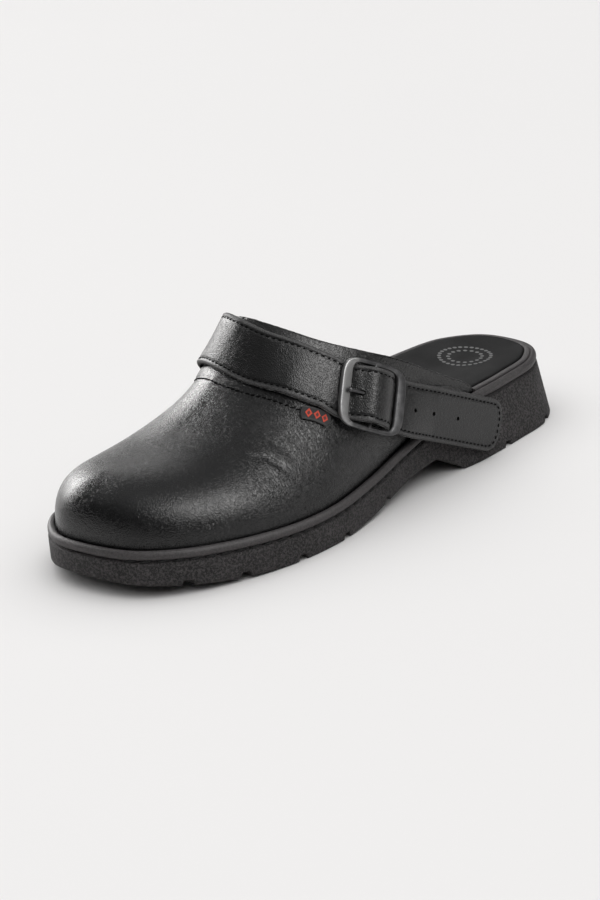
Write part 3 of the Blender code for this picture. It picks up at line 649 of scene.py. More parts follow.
def linked(name: str, data: bpy.types.ID) -> Thing:
    """New object in the scene.

    Args:
        name: its name.
        data: its mesh, lamp or camera.

    Returns:
        The object.
    """
    made = bpy.data.objects.new(name, data)
    bpy.context.scene.collection.objects.link(made)
    return made


def solid(name: str, mesh: Mesh, shift: Points = -ORIGIN) -> Thing:
    """New object of a mesh.

    Args:
        name: its name.
        mesh: its mesh, which is used up.
        shift: move from the last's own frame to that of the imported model.

    Returns:
        The object.
    """
    bmesh.ops.translate(mesh, vec=Vector(shift), verts=mesh.verts)
    data = bpy.data.meshes.new(name)
    mesh.to_mesh(data)
    mesh.free()
    return linked(name, data)


class Maker:
    """Turns meshes into pieces of the shoe."""

    def __init__(self) -> None:
        """Open the log."""
        self.log = logging.getLogger("clog")

    def piece(
        self, name: str, mesh: Mesh, finishes: Sequence[Finish],
        slot: Slot, nodes: Sequence[str] = (), sharp: float = 40.0,
    ) -> Thing:
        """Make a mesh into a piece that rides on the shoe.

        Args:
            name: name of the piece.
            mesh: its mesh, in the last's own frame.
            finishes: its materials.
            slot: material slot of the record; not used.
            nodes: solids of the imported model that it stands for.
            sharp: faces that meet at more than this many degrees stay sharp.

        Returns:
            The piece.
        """
        made = solid(name, mesh)
        data = made.data
        data.shade_smooth()
        data.set_sharp_from_angle(angle=math.radians(sharp))
        for finish in finishes:
            data.materials.append(finish)
        if nodes:
            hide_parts(*nodes)
        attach(made, "root")
        self.log.info("%s: %d vertices", name, len(data.vertices))
        return made


def carve(thing: Thing, tools: Sequence[Thing], add: bool = False) -> None:
    """Cut tools out of a piece, or weld them on, and remove them.

    Args:
        thing: the piece.
        tools: objects that cut it.
        add: weld them on instead.
    """
    for tool in tools:
        change = thing.modifiers.new(tool.name, "BOOLEAN")
        change.operation = "UNION" if add else "DIFFERENCE"
        change.object = tool
        change.solver = "EXACT"
    bpy.context.view_layer.update()
    ready = thing.evaluated_get(bpy.context.evaluated_depsgraph_get())
    data = bpy.data.meshes.new_from_object(ready)
    thing.modifiers.clear()
    old, thing.data = thing.data, data
    name = old.name
    bpy.data.meshes.remove(old)
    data.name = name
    for tool in tools:
        bpy.data.objects.remove(tool, do_unlink=True)


def rod(middle: Points, axis: Points, radius: float, half: float, sides: int = 24) -> Mesh:
    """Round bar about an axis.

    Args:
        middle: its middle.
        axis: direction of its axis.
        radius: its radius.
        half: half its length.
        sides: number of its sides.

    Returns:
        A new mesh.
    """
    mesh = bmesh.new()
    turn = Vector(axis).to_track_quat("Z", "Y").to_matrix().to_4x4()
    bmesh.ops.create_cone(
        mesh, cap_ends=True, segments=sides, radius1=radius, radius2=radius, depth=2 * half,
        matrix=Matrix.Translation(Vector(middle)) @ turn,
    )
    return mesh


@dataclass(frozen=True)
class Stitching:
    """Row of stitches; the slant is in degrees, the sink is below the skin."""

    pitch: float = 2.9 * MM
    length: float = 2.0 * MM
    radius: float = 0.46 * MM
    slant: float = 7.0
    sink: float = 0.06 * MM

    def sew(self, path: Points, outs: Points) -> Mesh:
        """Stitches along a path on a skin.

        Args:
            path: close points of the path.
            outs: outward direction of the skin at each point.

        Returns:
            One mesh with all stitches.
        """
        reach = reach_of(path)
        count = max(int(reach[-1] / self.pitch), 1)
        places = (np.arange(count) + 0.5) * reach[-1] / count
        at, out = between(places, reach, path), unit(between(places, reach, outs))
        step = 0.3 * self.length
        along = unit(between(places + step, reach, path) - between(places - step, reach, path))
        side = np.cross(out, along)
        angle = math.radians(self.slant)
        along = along * math.cos(angle) + side * math.sin(angle)
        mesh = bmesh.new()
        for p, x, z in zip(at, along, out):
            y = np.cross(z, x)
            turn = Matrix((x, unit(y), z)).transposed().to_4x4()
            size = Matrix.Diagonal((0.5 * self.length, self.radius, self.radius, 1.0))
            place = Matrix.Translation(Vector(p - z * self.sink)) @ turn @ size
            bmesh.ops.create_uvsphere(mesh, u_segments=8, v_segments=6, radius=1.0, matrix=place)
        return mesh


def by_node(operation: str, turned: bool = False) -> Callable[..., "Value"]:
    """Method of Value that puts it, and perhaps another value, through a Math node.

    Args:
        operation: what the node does.
        turned: the other value comes first.

    Returns:
        The method.
    """
    def method(value: "Value", other: "Value | float" = 0.0) -> "Value":
        """Result of the node."""
        first, second = (other, value) if turned else (value, other)
        return value.web.node("ShaderNodeMath", {"operation": operation}, {0: first, 1: second})

    return method


class Value:
    """Socket of a shader node that can be used in Python expressions."""

    __add__ = __radd__ = by_node("ADD")
    __mul__ = __rmul__ = by_node("MULTIPLY")
    __sub__, __rsub__ = by_node("SUBTRACT"), by_node("SUBTRACT", True)
    __truediv__, __pow__, __abs__ = by_node("DIVIDE"), by_node("POWER"), by_node("ABSOLUTE")
    lower, upper = by_node("MINIMUM"), by_node("MAXIMUM")
    wave, part, turn = by_node("SINE"), by_node("FRACT"), by_node("ARCTAN2")

    def __init__(self, web: "Web", socket: bpy.types.NodeSocket) -> None:
        """Keep the tree and the socket."""
        self.web, self.socket = web, socket

    def step(self, low: float, high: float) -> "Value":
        """Smooth step from 0 at low to 1 at high; it falls when high is the smaller.

        Args:
            low: where it is 0.
            high: where it is 1.

        Returns:
            The step.
        """
        settings = {"interpolation_type": "SMOOTHSTEP"}
        ends = {"Value": self, "From Min": min(low, high), "From Max": max(low, high)}
        ends |= {"To Min": float(low > high), "To Max": float(low < high)}
        return self.web.node("ShaderNodeMapRange", settings, ends)


class Web:
    """Node tree of one material."""

    def __init__(self, name: str) -> None:
        """Start a material with an empty tree.

        Args:
            name: name of the material.
        """
        self.material = bpy.data.materials.new(name)
        self.material.use_nodes = True
        self.tree = self.material.node_tree
        self.tree.nodes.clear()

    def node(
        self, kind: str, settings: dict | None = None, sockets: dict | None = None, output: int | str = 0,
    ) -> Value:
        """Add a node.

        Args:
            kind: type of the node.
            settings: its properties.
            sockets: values or links of its inputs.
            output: which output to return.

        Returns:
            The output as a value.
        """
        made = self.tree.nodes.new(kind)
        for key, value in (settings or {}).items():
            setattr(made, key, value)
        for key, value in (sockets or {}).items():
            if isinstance(value, Value):
                self.tree.links.new(value.socket, made.inputs[key])
            else:
                made.inputs[key].default_value = value
        return Value(self, made.outputs[output])

    def object_place(self) -> Value:
        """Object coordinates."""
        return self.node("ShaderNodeTexCoord", output="Object")

    def kept(self, layer: Layer) -> Value:
        """Value kept on the vertices."""
        return self.node("ShaderNodeAttribute", {"attribute_name": layer.value}, output="Fac")

    def split(self, place: Value) -> tuple[Value, Value]:
        """First two parts of a place."""
        first = self.node("ShaderNodeSeparateXYZ", {}, {"Vector": place}, "X")
        return first, Value(self, first.socket.node.outputs["Y"])

    def cloud(self, place: Value, size: float, detail: float = 3.0, rough: float = 0.5) -> Value:
        """Soft noise of a size in metres."""
        sockets = {"Vector": place, "Scale": 1.0 / size, "Detail": detail, "Roughness": rough}
        return self.node("ShaderNodeTexNoise", {}, sockets)

    def stretched(self, place: Value, scale: Place, turn: Place) -> Value:
        """Place stretched and turned."""
        sockets = {"Vector": place, "Scale": scale, "Rotation": turn}
        return self.node("ShaderNodeMapping", {"vector_type": "POINT"}, sockets, "Vector")

    def warped(self, place: Value, size: float, amount: float) -> Value:
        """Place shifted by soft noise.

        Args:
            place: the place.
            size: size of the noise.
            amount: how far it shifts.

        Returns:
            The new place.
        """
        sockets = {"Vector": place, "Scale": 1.0 / size, "Detail": 2.0}
        shift = self.node("ShaderNodeTexNoise", {}, sockets, "Color")
        sockets = {0: shift, 1: (amount,) * 3, 2: place}
        return self.node("ShaderNodeVectorMath", {"operation": "MULTIPLY_ADD"}, sockets, "Vector")

    def cells(self, place: Value, size: float) -> Value:
        """Distance to the nearest border between cells of a size, as a share of the size."""
        sockets = {"Vector": place, "Scale": 1.0 / size}
        return self.node("ShaderNodeTexVoronoi", {"feature": "DISTANCE_TO_EDGE"}, sockets, "Distance")

    def mixed(self, share: Value, first: Colour | Value, second: Colour | Value) -> Value:
        """Colour between two."""
        first, second = (c if isinstance(c, Value) else (*c, 1.0) for c in (first, second))
        return self.node("ShaderNodeMix", {"data_type": "RGBA"}, {0: share, 6: first, 7: second}, 2)

    def bump(self, height: Value, distance: float, below: Value | None = None) -> Value:
        """Bump of a height.

        Args:
            height: the height, from 0 to 1.
            distance: metres for a height of 1.
            below: another bump under it.

        Returns:
            The normal.
        """
        sockets = {"Height": height, "Distance": distance, "Strength": 1.0}
        if below:
            sockets["Normal"] = below
        return self.node("ShaderNodeBump", {}, sockets, "Normal")

    def surface(self, **sockets: "Value | float | Colour") -> Finish:
        """Close the material with a surface shader.

        Args:
            sockets: values of its sockets, with _ for each space in a name.

        Returns:
            The material.
        """
        named = {}
        for key, value in sockets.items():
            colour = isinstance(value, tuple)
            named[key.replace("_", " ")] = (*value, 1.0) if colour else value
        shader = self.node("ShaderNodeBsdfPrincipled", {}, named, "BSDF")
        end = self.tree.nodes.new("ShaderNodeOutputMaterial")
        self.tree.links.new(shader.socket, end.inputs["Surface"])
        return self.material


@dataclass(frozen=True)
class Leather:
    """Black grained leather with a soft gloss."""

    name: str
    colour: Colour = (0.0028, 0.0028, 0.0031)
    worn: Colour = (0.005, 0.005, 0.0054)
    cell: float = 0.85 * MM
    relief: float = 0.17 * MM
    roughness: float = 0.27
    folds: float = 0.0
    rim: bool = False
    # Colour of the strap's rim band: partly scuffs, partly a painted highlight along the edge.
    scuff_and_highlight: Colour = (0.1, 0.098, 0.098)
    # Colour of the grain's hollows: painted shade.
    furrow_shade: Colour = (0.002, 0.002, 0.0022)

    def make(self) -> Finish:
        """Wire the material of the leather.

        Returns:
            The material.
        """
        web = Web(self.name)
        place = web.object_place()
        loose = web.warped(place, 2.6 * self.cell, 0.7 * self.cell)
        pebble = web.cells(loose, self.cell).step(0.0, 0.4)
        mounds = web.cloud(loose, 1.3 * self.cell, 2.0, 0.6)
        pores = web.cloud(place, 0.35 * self.cell, 3.0, 0.6)
        patches = web.cloud(place, 26 * MM, 4.0, 0.55)
        below, grain = None, pebble * 0.4 + mounds * 0.7 + pores * 0.15
        if self.folds:
            flex = web.kept(Layer.FLEX)
            lie = web.stretched(web.warped(place, 8 * MM, 1.6 * MM), (150.0, 620.0, 260.0), (0.0, 0.35, 0.3))
            lines = abs(web.cloud(lie, 1.0) - 0.5)
            below = web.bump(lines.step(0.0, 0.07) * flex, self.folds)
            grain = grain * (flex * 0.2 + 0.95)
        normal = web.bump(grain, self.relief, below)
        rough = self.roughness + (pores - 0.5) * 0.1 + (patches - 0.5) * 0.1
        tint = web.mixed(patches.step(0.35, 0.75), self.colour, self.worn)
        # The grain's hollows, where the bump is low, take a darker colour: painted shade.
        shade = web.mixed(pebble, self.furrow_shade, tint)
        # Rim band round the strap gets pale flecks: partly scuffs, partly a painted highlight where the edge
        # catches light.
        if self.rim:
            side = web.kept(Layer.POLISH)
            shade, rough = web.mixed(side * pores.step(0.35, 0.7), shade, self.scuff_and_highlight), rough + side * 0.25
        return web.surface(Base_Color=shade, Roughness=rough, Normal=normal, Specular_IOR_Level=0.5)


@dataclass(frozen=True)
class CutEdge:
    """Cut edge of leather: pressed layers with loose fibres."""

    name: str = "leather_cut_edge"
    skin: Colour = (0.006, 0.006, 0.0065)
    fibre: Colour = (0.3, 0.298, 0.295)
    glue: Colour = (0.01, 0.01, 0.01)

    def make(self) -> Finish:
        """Wire the material of the cut edge.

        Returns:
            The material.
        """
        web = Web(self.name)
        place, depth = web.object_place(), web.kept(Layer.DEPTH)
        fuzz = web.cloud(place, 0.45 * MM, 4.0, 0.7)
        broad = web.cloud(place, 4 * MM, 3.0)
        layer = depth + (fuzz - 0.5) * 0.12
        upper = layer.step(0.14, 0.22) * layer.step(0.44, 0.38)
        lower = layer.step(0.52, 0.6) * layer.step(0.9, 0.8)
        light = (upper + lower * 0.8).lower(1.0) * fuzz.step(0.2, 0.65) * broad.step(0.25, 0.55)
        colour = web.mixed(light, web.mixed(layer.step(0.3, 0.5), self.skin, self.glue), self.fibre)
        normal, rough = web.bump(fuzz + (layer * 38.0).wave() * 0.25, 0.22 * MM), 0.85 - light * 0.05
        return web.surface(Base_Color=colour, Roughness=rough, Normal=normal, Specular_IOR_Level=0.35)


@dataclass(frozen=True)
class Lining:
    """Napped inside of leather, or a smooth lining."""

    name: str
    colour: Colour = (0.016, 0.016, 0.0165)
    nap: float = 0.7 * MM

    def make(self) -> Finish:
        """Wire the material of the inside.

        Returns:
            The material.
        """
        web = Web(self.name)
        place = web.object_place()
        fibres, cloudy = web.cloud(place, self.nap, 4.0, 0.7), web.cloud(place, 14 * MM)
        darker = tuple(0.55 * c for c in self.colour)
        colour = web.mixed(fibres * 0.5 + cloudy * 0.5, darker, self.colour)
        normal = web.bump(fibres, 0.15 * MM)
        return web.surface(Base_Color=colour, Roughness=0.7 + (fibres - 0.5) * 0.2, Normal=normal)


@dataclass(frozen=True)
class Rubber:
    """Moulded rubber: grained walls with a smooth welt."""

    name: str = "moulded_rubber"
    colour: Colour = (0.005, 0.0045, 0.0046)
    # Pale colour of the raised grain and of random dust: partly a painted highlight.
    light: Colour = (0.135, 0.122, 0.124)
    grain: float = 1.0 * MM
    relief: float = 1.3 * MM

    def make(self) -> Finish:
        """Wire the material of the sole.

        Returns:
            The material.
        """
        web = Web(self.name)
        place, polish = web.object_place(), web.kept(Layer.POLISH)
        lumps = web.cloud(web.warped(place, 3 * MM, 1 * MM), self.grain, 3.0, 0.65)
        pits = web.cells(place, 0.7 * self.grain).step(0.0, 0.35)
        fine = web.cloud(place, 0.35 * MM, 2.0)
        dust = web.cloud(place, 17 * MM, 5.0, 0.6)
        rough_wall = lumps.step(0.4, 0.6) * 0.7 + pits * 0.3
        height = rough_wall * (1.0 - polish) + fine * polish * 0.12
        # Raised grain painted paler and pits darker, a painted highlight and shade, mixed with random dust.
        painted_grain_light_and_dust = (rough_wall * 0.75 + (dust - 0.5) * 0.5) * (1.0 - polish * 0.7) + polish * 0.2
        colour = web.mixed(painted_grain_light_and_dust, self.colour, self.light)
        roughness = 0.74 - polish * 0.22 + (lumps - 0.5) * 0.16
        normal = web.bump(height, self.relief)
        return web.surface(Base_Color=colour, Roughness=roughness, Normal=normal, Specular_IOR_Level=0.42)


@dataclass(frozen=True)
class InsoleCover:
    """Black matte cover with a printed ring of dots at the heel."""

    name: str = "insole_cover"
    colour: Colour = (0.007, 0.007, 0.0074)
    worn: Colour = (0.015, 0.015, 0.0154)
    ink: Colour = (0.15, 0.15, 0.15)
    middle: Pair = (-3.0 * MM, 108.0 * MM)
    radii: Pair = (15.0 * MM, 12.0 * MM)
    thread: float = 0.8 * MM
    # Rings of dots: number, radius, stretch round and across the ring, rim of a dot.
    rings: tuple[tuple[float, ...], ...] = (
        (28, 0.92, 0.42, 2.2, 0.03, 0.018), (16, 0.6, 0.46, 2.0, 0.026, 0.015),
    )

    def make(self) -> Finish:
        """Wire the material of the insole.

        Returns:
            The material.
        """
        web = Web(self.name)
        place = web.object_place()
        x, y = web.split(place)
        thread = 2 * math.pi / self.thread
        weave = (x * thread).wave() * (y * thread).wave()
        fuzz, patches = web.cloud(place, 0.5 * MM, 4.0, 0.7), web.cloud(place, 22 * MM, 4.0)
        across, along = (x - self.middle[0]) / self.radii[0], (y - self.middle[1]) / self.radii[1]
        away, turn = (across ** 2.0 + along ** 2.0) ** 0.5, along.turn(across)
        dots = []
        for count, radius, wide, deep, *rim in self.rings:
            bead = (turn * (count / (2 * math.pi))).part() - 0.5
            dots.append(((bead * wide) ** 2.0 + ((away - radius) * deep) ** 2.0).step(*rim))
        cloth = web.mixed(patches.step(0.35, 0.7), self.colour, self.worn)
        colour = web.mixed(dots[0].upper(dots[1]) * fuzz.step(0.2, 0.5), cloth, self.ink)
        normal, rough = web.bump(weave * 0.25 + fuzz * 0.6, 0.12 * MM), 0.82 + (fuzz - 0.5) * 0.2
        return web.surface(Base_Color=colour, Roughness=rough, Normal=normal, Specular_IOR_Level=0.16)


@dataclass(frozen=True)
class DarkMetal:
    """Black plated metal with a satin face."""

    name: str = "dark_satin_metal"
    colour: Colour = (0.07, 0.07, 0.072)
    # Pale colour of worn metal, also painted as a highlight on the front bar.
    worn_and_highlight: Colour = (0.36, 0.36, 0.36)

    def make(self) -> Finish:
        """Wire the material of the buckle and rivets.

        Returns:
            The material.
        """
        web = Web(self.name)
        place = web.object_place()
        grit, patches = web.cloud(place, 0.25 * MM, 3.0, 0.7), web.cloud(place, 5 * MM, 4.0, 0.6)
        scratches = web.cloud(web.stretched(place, (1.0, 9.0, 1.0), (0.4, 0.3, 0.7)), 0.9 * MM, 2.0)
        # Random worn flecks, plus the polish layer, which paints the front bar paler: partly worn metal,
        # partly a painted highlight.
        wear_and_highlight = (grit * 0.5 + patches * 0.6).step(0.45, 0.8) * 0.25 + web.kept(Layer.POLISH) * 0.7
        colour = web.mixed(wear_and_highlight, self.colour, self.worn_and_highlight)
        roughness = 0.42 + (grit - 0.5) * 0.2 + (patches - 0.5) * 0.16
        normal = web.bump(grit * 0.6 + scratches * 0.4, 0.035 * MM)
        return web.surface(Base_Color=colour, Roughness=roughness, Metallic=0.92, Normal=normal)


@dataclass(frozen=True)
class Thread:
    """Waxed twisted thread."""

    name: str
    colour: Colour = (0.0012, 0.0012, 0.0013)
    dullness: float = 0.85

    def make(self) -> Finish:
        """Wire the material of the thread.

        Returns:
            The material.
        """
        web = Web(self.name)
        place = web.object_place()
        twist = web.cloud(place, 0.28 * MM, 2.0)
        colour = web.mixed(twist, *(tuple(share * c for c in self.colour) for share in (0.6, 2.2)))
        normal, rough = web.bump(twist, 0.08 * MM), self.dullness + (twist - 0.5) * 0.2
        return web.surface(Base_Color=colour, Roughness=rough, Normal=normal, Specular_IOR_Level=0.12)


@dataclass(frozen=True)
class TagCloth:
    """Woven tag: black ground with a row of red lozenges."""

    name: str = "woven_tag"
    ground: Colour = (0.018, 0.017, 0.018)
    border: Colour = (0.05, 0.048, 0.048)
    red: Colour = (0.75, 0.06, 0.02)
    half: float = 3.0 * MM
    pitch: float = 3.9 * MM
    margin: float = 1.6 * MM
    count: int = 3
    thread: float = 0.55 * MM

    def make(self) -> Finish:
        """Wire the material of the tag.

        Returns:
            The material.
        """
        web = Web(self.name)
        flat = web.node("ShaderNodeUVMap", {"uv_map": "UVMap"}, output="UV")
        u, v = web.split(flat)
        thread = 2 * math.pi / self.thread
        weave = (u * thread).wave() * (v * (thread * 1.4)).wave()
        cell = ((u - self.margin) / self.pitch).part() - 0.5
        lozenge = abs(cell) * 2.2 + abs(v) / (0.74 * self.half)
        end = self.margin + self.count * self.pitch
        inside = u.step(self.margin, self.margin + 0.1 * MM) * u.step(end, end - 0.1 * MM)
        motif = (lozenge.step(1.0, 0.9) - lozenge.step(0.52, 0.42) * 0.85) * inside
        edge = abs(v).step(self.half - 0.9 * MM, self.half - 0.5 * MM)
        colour = web.mixed(motif * (weave * 0.12 + 0.88), web.mixed(edge, self.ground, self.border), self.red)
        normal = web.bump(weave * 0.4 + motif * 0.6, 0.12 * MM)
        return web.surface(Base_Color=colour, Roughness=0.72 + weave * 0.08, Normal=normal, Sheen_Weight=0.05)


@dataclass(frozen=True)
class Backdrop:
    """Plain pale floor."""

    name: str = "pale_floor"
    colour: Colour = (0.8, 0.79, 0.785)

    def make(self) -> Finish:
        """Wire the material of the floor.

        Returns:
            The material.
        """
        web = Web(self.name)
        faint = web.cloud(web.object_place(), 0.4, 3.0)
        colour = web.mixed(faint, tuple(0.985 * c for c in self.colour), self.colour)
        return web.surface(Base_Color=colour, Roughness=0.9 + faint * 0.02, Specular_IOR_Level=0.1)


@dataclass
class Sole:
    """Moulded sole: tread, arch, heel, wall, groove and welt."""

    last: Last
    maker: Maker
    rim_start: float = 76.4 * MM
    rim_inset: float = 3.5 * MM
    rim_width: float = 2.3 * MM
    rim_rise: float = 0.7 * MM
    groove_half: Pair = (2.71 * MM, 1.6 * MM)
    groove_depth: float = 2.4 * MM
    groove_edge: float = 0.25 * MM
    round_edge: float = 0.7 * MM
    wall_top: float = 5.9 * MM
    wall_rows: int = 7
    spacing: float = 2.0 * MM
    stitch_ends: Pair = (-138.0 * MM, 66.0 * MM)
    stitch_inset: float = 0.95 * MM
    stitch_drop: float = 4.55 * MM
    sewing: Stitching = Stitching(6.9 * MM, 6.2 * MM, 0.78 * MM, 13.0, 0.0)
    # Welt, upwards: inset from the outline, drop below its crest, smoothness.
    welt_rows: tuple = (
        (0.25, 5.45, 0.2), (0.85, 5.1, 0.5), (1.55, 4.85, 0.8), (1.7, 4.6, 1.0), (1.2, 4.2, 1.0),
        (0.62, 3.9, 1.0), (0.26, 3.35, 1.0), (0.1, 2.7, 1.0), (0.14, 2.0, 1.0), (0.36, 1.3, 1.0),
        (0.74, 0.7, 1.0), (1.25, 0.25, 1.0), (1.9, 0.02, 1.0), (2.5, 0.12, 1.0), (3.0, 0.42, 1.0),
    )

    def __post_init__(self) -> None:
        """Choose the places along the outline, with pairs where the form is sharp."""
        self.toe, self.arch = columns(TOE_ROWS)[0], columns(ARCH_ROWS)[0]
        plan = self.last.plan
        places = list(np.linspace(0.0, plan.length, int(plan.length / self.spacing)))
        wide, narrow = self.groove_half
        steps = (wide + self.groove_edge, wide, narrow, narrow - self.groove_edge)
        sharp = [y * MM + way * d for y in LUG_GROOVES for d in steps for way in (-1, 1)]
        sharp += [self.rim_start + way * 0.2 * MM for way in (-1, 1)]
        sharp += [HEEL_BREAST * MM, ARCH_ROWS[-1][0] * MM]
        fixed = [plan.station(y) for y in sharp]
        free = [t for t in places if min(abs(t - f) for f in fixed) > 0.3 * MM or t in (0.0, plan.length)]
        self.places = np.array(sorted(free + fixed))

    def underside(self, y: Points) -> Points:
        """Height of the bottom over the floor, with its lug grooves.

        Args:
            y: stations.

        Returns:
            The heights.
        """
        y = np.asarray(y, float)
        ball, start, (end, top) = TOE_ROWS[-1][0] * MM, ARCH_ROWS[0][0] * MM, np.array(ARCH_ROWS[-1]) * MM
        breast = np.interp(y, [end, HEEL_BREAST * MM], [top, 0.0])
        height = np.where(y < ball, self.toe.at(y), np.where(y > end, breast, 0.0))
        height = np.where((y > start) & (y <= end), self.arch.at(y), height)
        wide, narrow = self.groove_half
        for middle in LUG_GROOVES:
            share = np.clip((wide - abs(y - middle * MM)) / (wide - narrow), 0.0, 1.0)
            height = height + self.groove_depth * share
        return height

    def _wall(self) -> tuple[Points, Points]:
        """Rings of the wall from the bottom edge to the pan.

        Returns:
            The rings, and how smooth each is.
        """
        last, plan, t = self.last, self.last.plan, self.places
        station = plan.y.at(t)
        low, top = self.underside(station), last.welt.at(station) - self.wall_top
        flare = last.flare.at(station)

        def ring(inset: Points, height: Points) -> Points:
            """Ring of the wall at an inset and a height for each place."""
            both = np.concatenate([height, height[-2:0:-1]])
            return plan.loop(t, inset, lambda s, y: both)

        def lean(height: Points) -> Points:
            """Inset of the wall, which flares outwards to the floor at the heel."""
            return -flare * np.clip(1.0 - height / (top + self.wall_top - 5.3 * MM), 0.0, 1.0)

        start = low + self.round_edge
        rings = [
            ring(lean(low) + self.round_edge, low),
            ring(lean(start) + 0.2 * self.round_edge, low + 0.4 * self.round_edge),
        ]
        smooth = [0.0, 0.0]
        for share in np.linspace(0.0, 1.0, self.wall_rows):
            height = start + (top - start) * share
            rings.append(ring(lean(height), height))
            smooth.append(0.0)
        for inset, drop, polish in self.welt_rows:
            rings.append(plan.loop(t, inset * MM, lambda s, y, d=drop: last.welt.at(y) - d * MM))
            smooth.append(polish)

        def rim(rise: float) -> Callable[[Points, Points], Points]:
            """Height of the rim round the heel seat, or of the pan ahead of it."""
            seat = self.rim_start
            return lambda s, y: last.welt.at(y) + np.where(plan.y.at(s) > seat, rise, -last.pan_drop)

        edge, wide, high = self.rim_inset, self.rim_width, self.rim_rise
        for inset, rise in (
            (3.05 * MM, 0.3 * MM), (3.2 * MM, 0.6 * MM), (edge, high), (edge + wide - 0.3 * MM, high),
            (edge + wide, high - 0.25 * MM), (last.insole_inset - GAP, -last.pan_drop),
        ):
            rings.append(plan.loop(t, inset, rim(rise)))
            smooth.append(1.0)
        return np.array(rings), np.array(smooth)

    def build(self, finish: Finish) -> Thing:
        """Make the sole.

        Args:
            finish: its rubber.

        Returns:
            The piece.
        """
        rings, smooth = self._wall()
        bottom = self.last.filled(rings[0], self.places, np.linspace(0.0, 1.0, 11), False)
        pan = self.last.filled(rings[-1], self.places, np.linspace(0.0, 1.0, 7))
        grids = (wrapped(rings), smooth[:, None]), (bottom, np.zeros((1, 1))), (pan, np.ones((1, 1)))
        mesh = outward(joined([sheet(grid, {Layer.POLISH: polish}) for grid, polish in grids], SOLE_WELD))
        return self.maker.piece("sole_moulded", mesh, [finish], Slot.SOLE, ["sole"], 50.0)

    def build_welt_stitches(self, finish: Finish) -> Thing:
        """Make the slanted stitches in the groove under the welt.

        Args:
            finish: their rubber, painted nearly black as shade in the groove.

        Returns:
            The piece.
        """
        last, plan = self.last, self.last.plan
        rows = []
        for side in Side:
            t = np.linspace(*(plan.station(y) for y in self.stitch_ends), 500)
            x, y = plan.edge(side, t, self.stitch_inset)
            path = np.stack([x, y, last.welt.at(y) - self.stitch_drop], axis=-1)
            x2, y2 = plan.edge(side, t, -1.0 * MM)
            out = unit(np.stack([x2 - x, y2 - y, 0 * x], axis=-1))
            if side is Side.INNER:
                path, out = path[::-1], out[::-1]
            rows.append(self.sewing.sew(path, out))
        return self.maker.piece("welt_stitches", joined(rows), [finish], Slot.SOLE)


@dataclass
class Insole:
    """Covered insole in the pan of the sole."""

    last: Last
    maker: Maker
    lift: float = 0.3 * MM
    thick: float = 3.3 * MM
    edge: float = 0.7 * MM

    def build(self, finish: Finish) -> Thing:
        """Make the insole.

        Args:
            finish: its cover.

        Returns:
            The piece.
        """
        last, plan = self.last, self.last.plan
        t = np.linspace(0.0, plan.length, 170)
        rows = [(0.0, 0.0)] + [
            (self.edge * (1 - math.cos(a)), self.thick - self.edge * (1 - math.sin(a)))
            for a in np.linspace(0.0, math.pi / 2, 5)
        ]

        def level(high: float) -> Callable[[Points, Points], Points]:
            """Height over the pan of the sole."""
            return lambda s, y: last.welt.at(y) - last.pan_drop + self.lift + high

        rings = np.array([plan.loop(t, last.insole_inset + inset, level(high)) for inset, high in rows])
        share = np.linspace(0.0, 1.0, 33)
        grids = wrapped(rings), last.filled(rings[0], t, share), last.filled(rings[-1], t, share)
        mesh = outward(joined([sheet(grid) for grid in grids], SOLE_WELD))
        return self.maker.piece("insole_covered", mesh, [finish], Slot.INSOLE, ["insole"], 60.0)


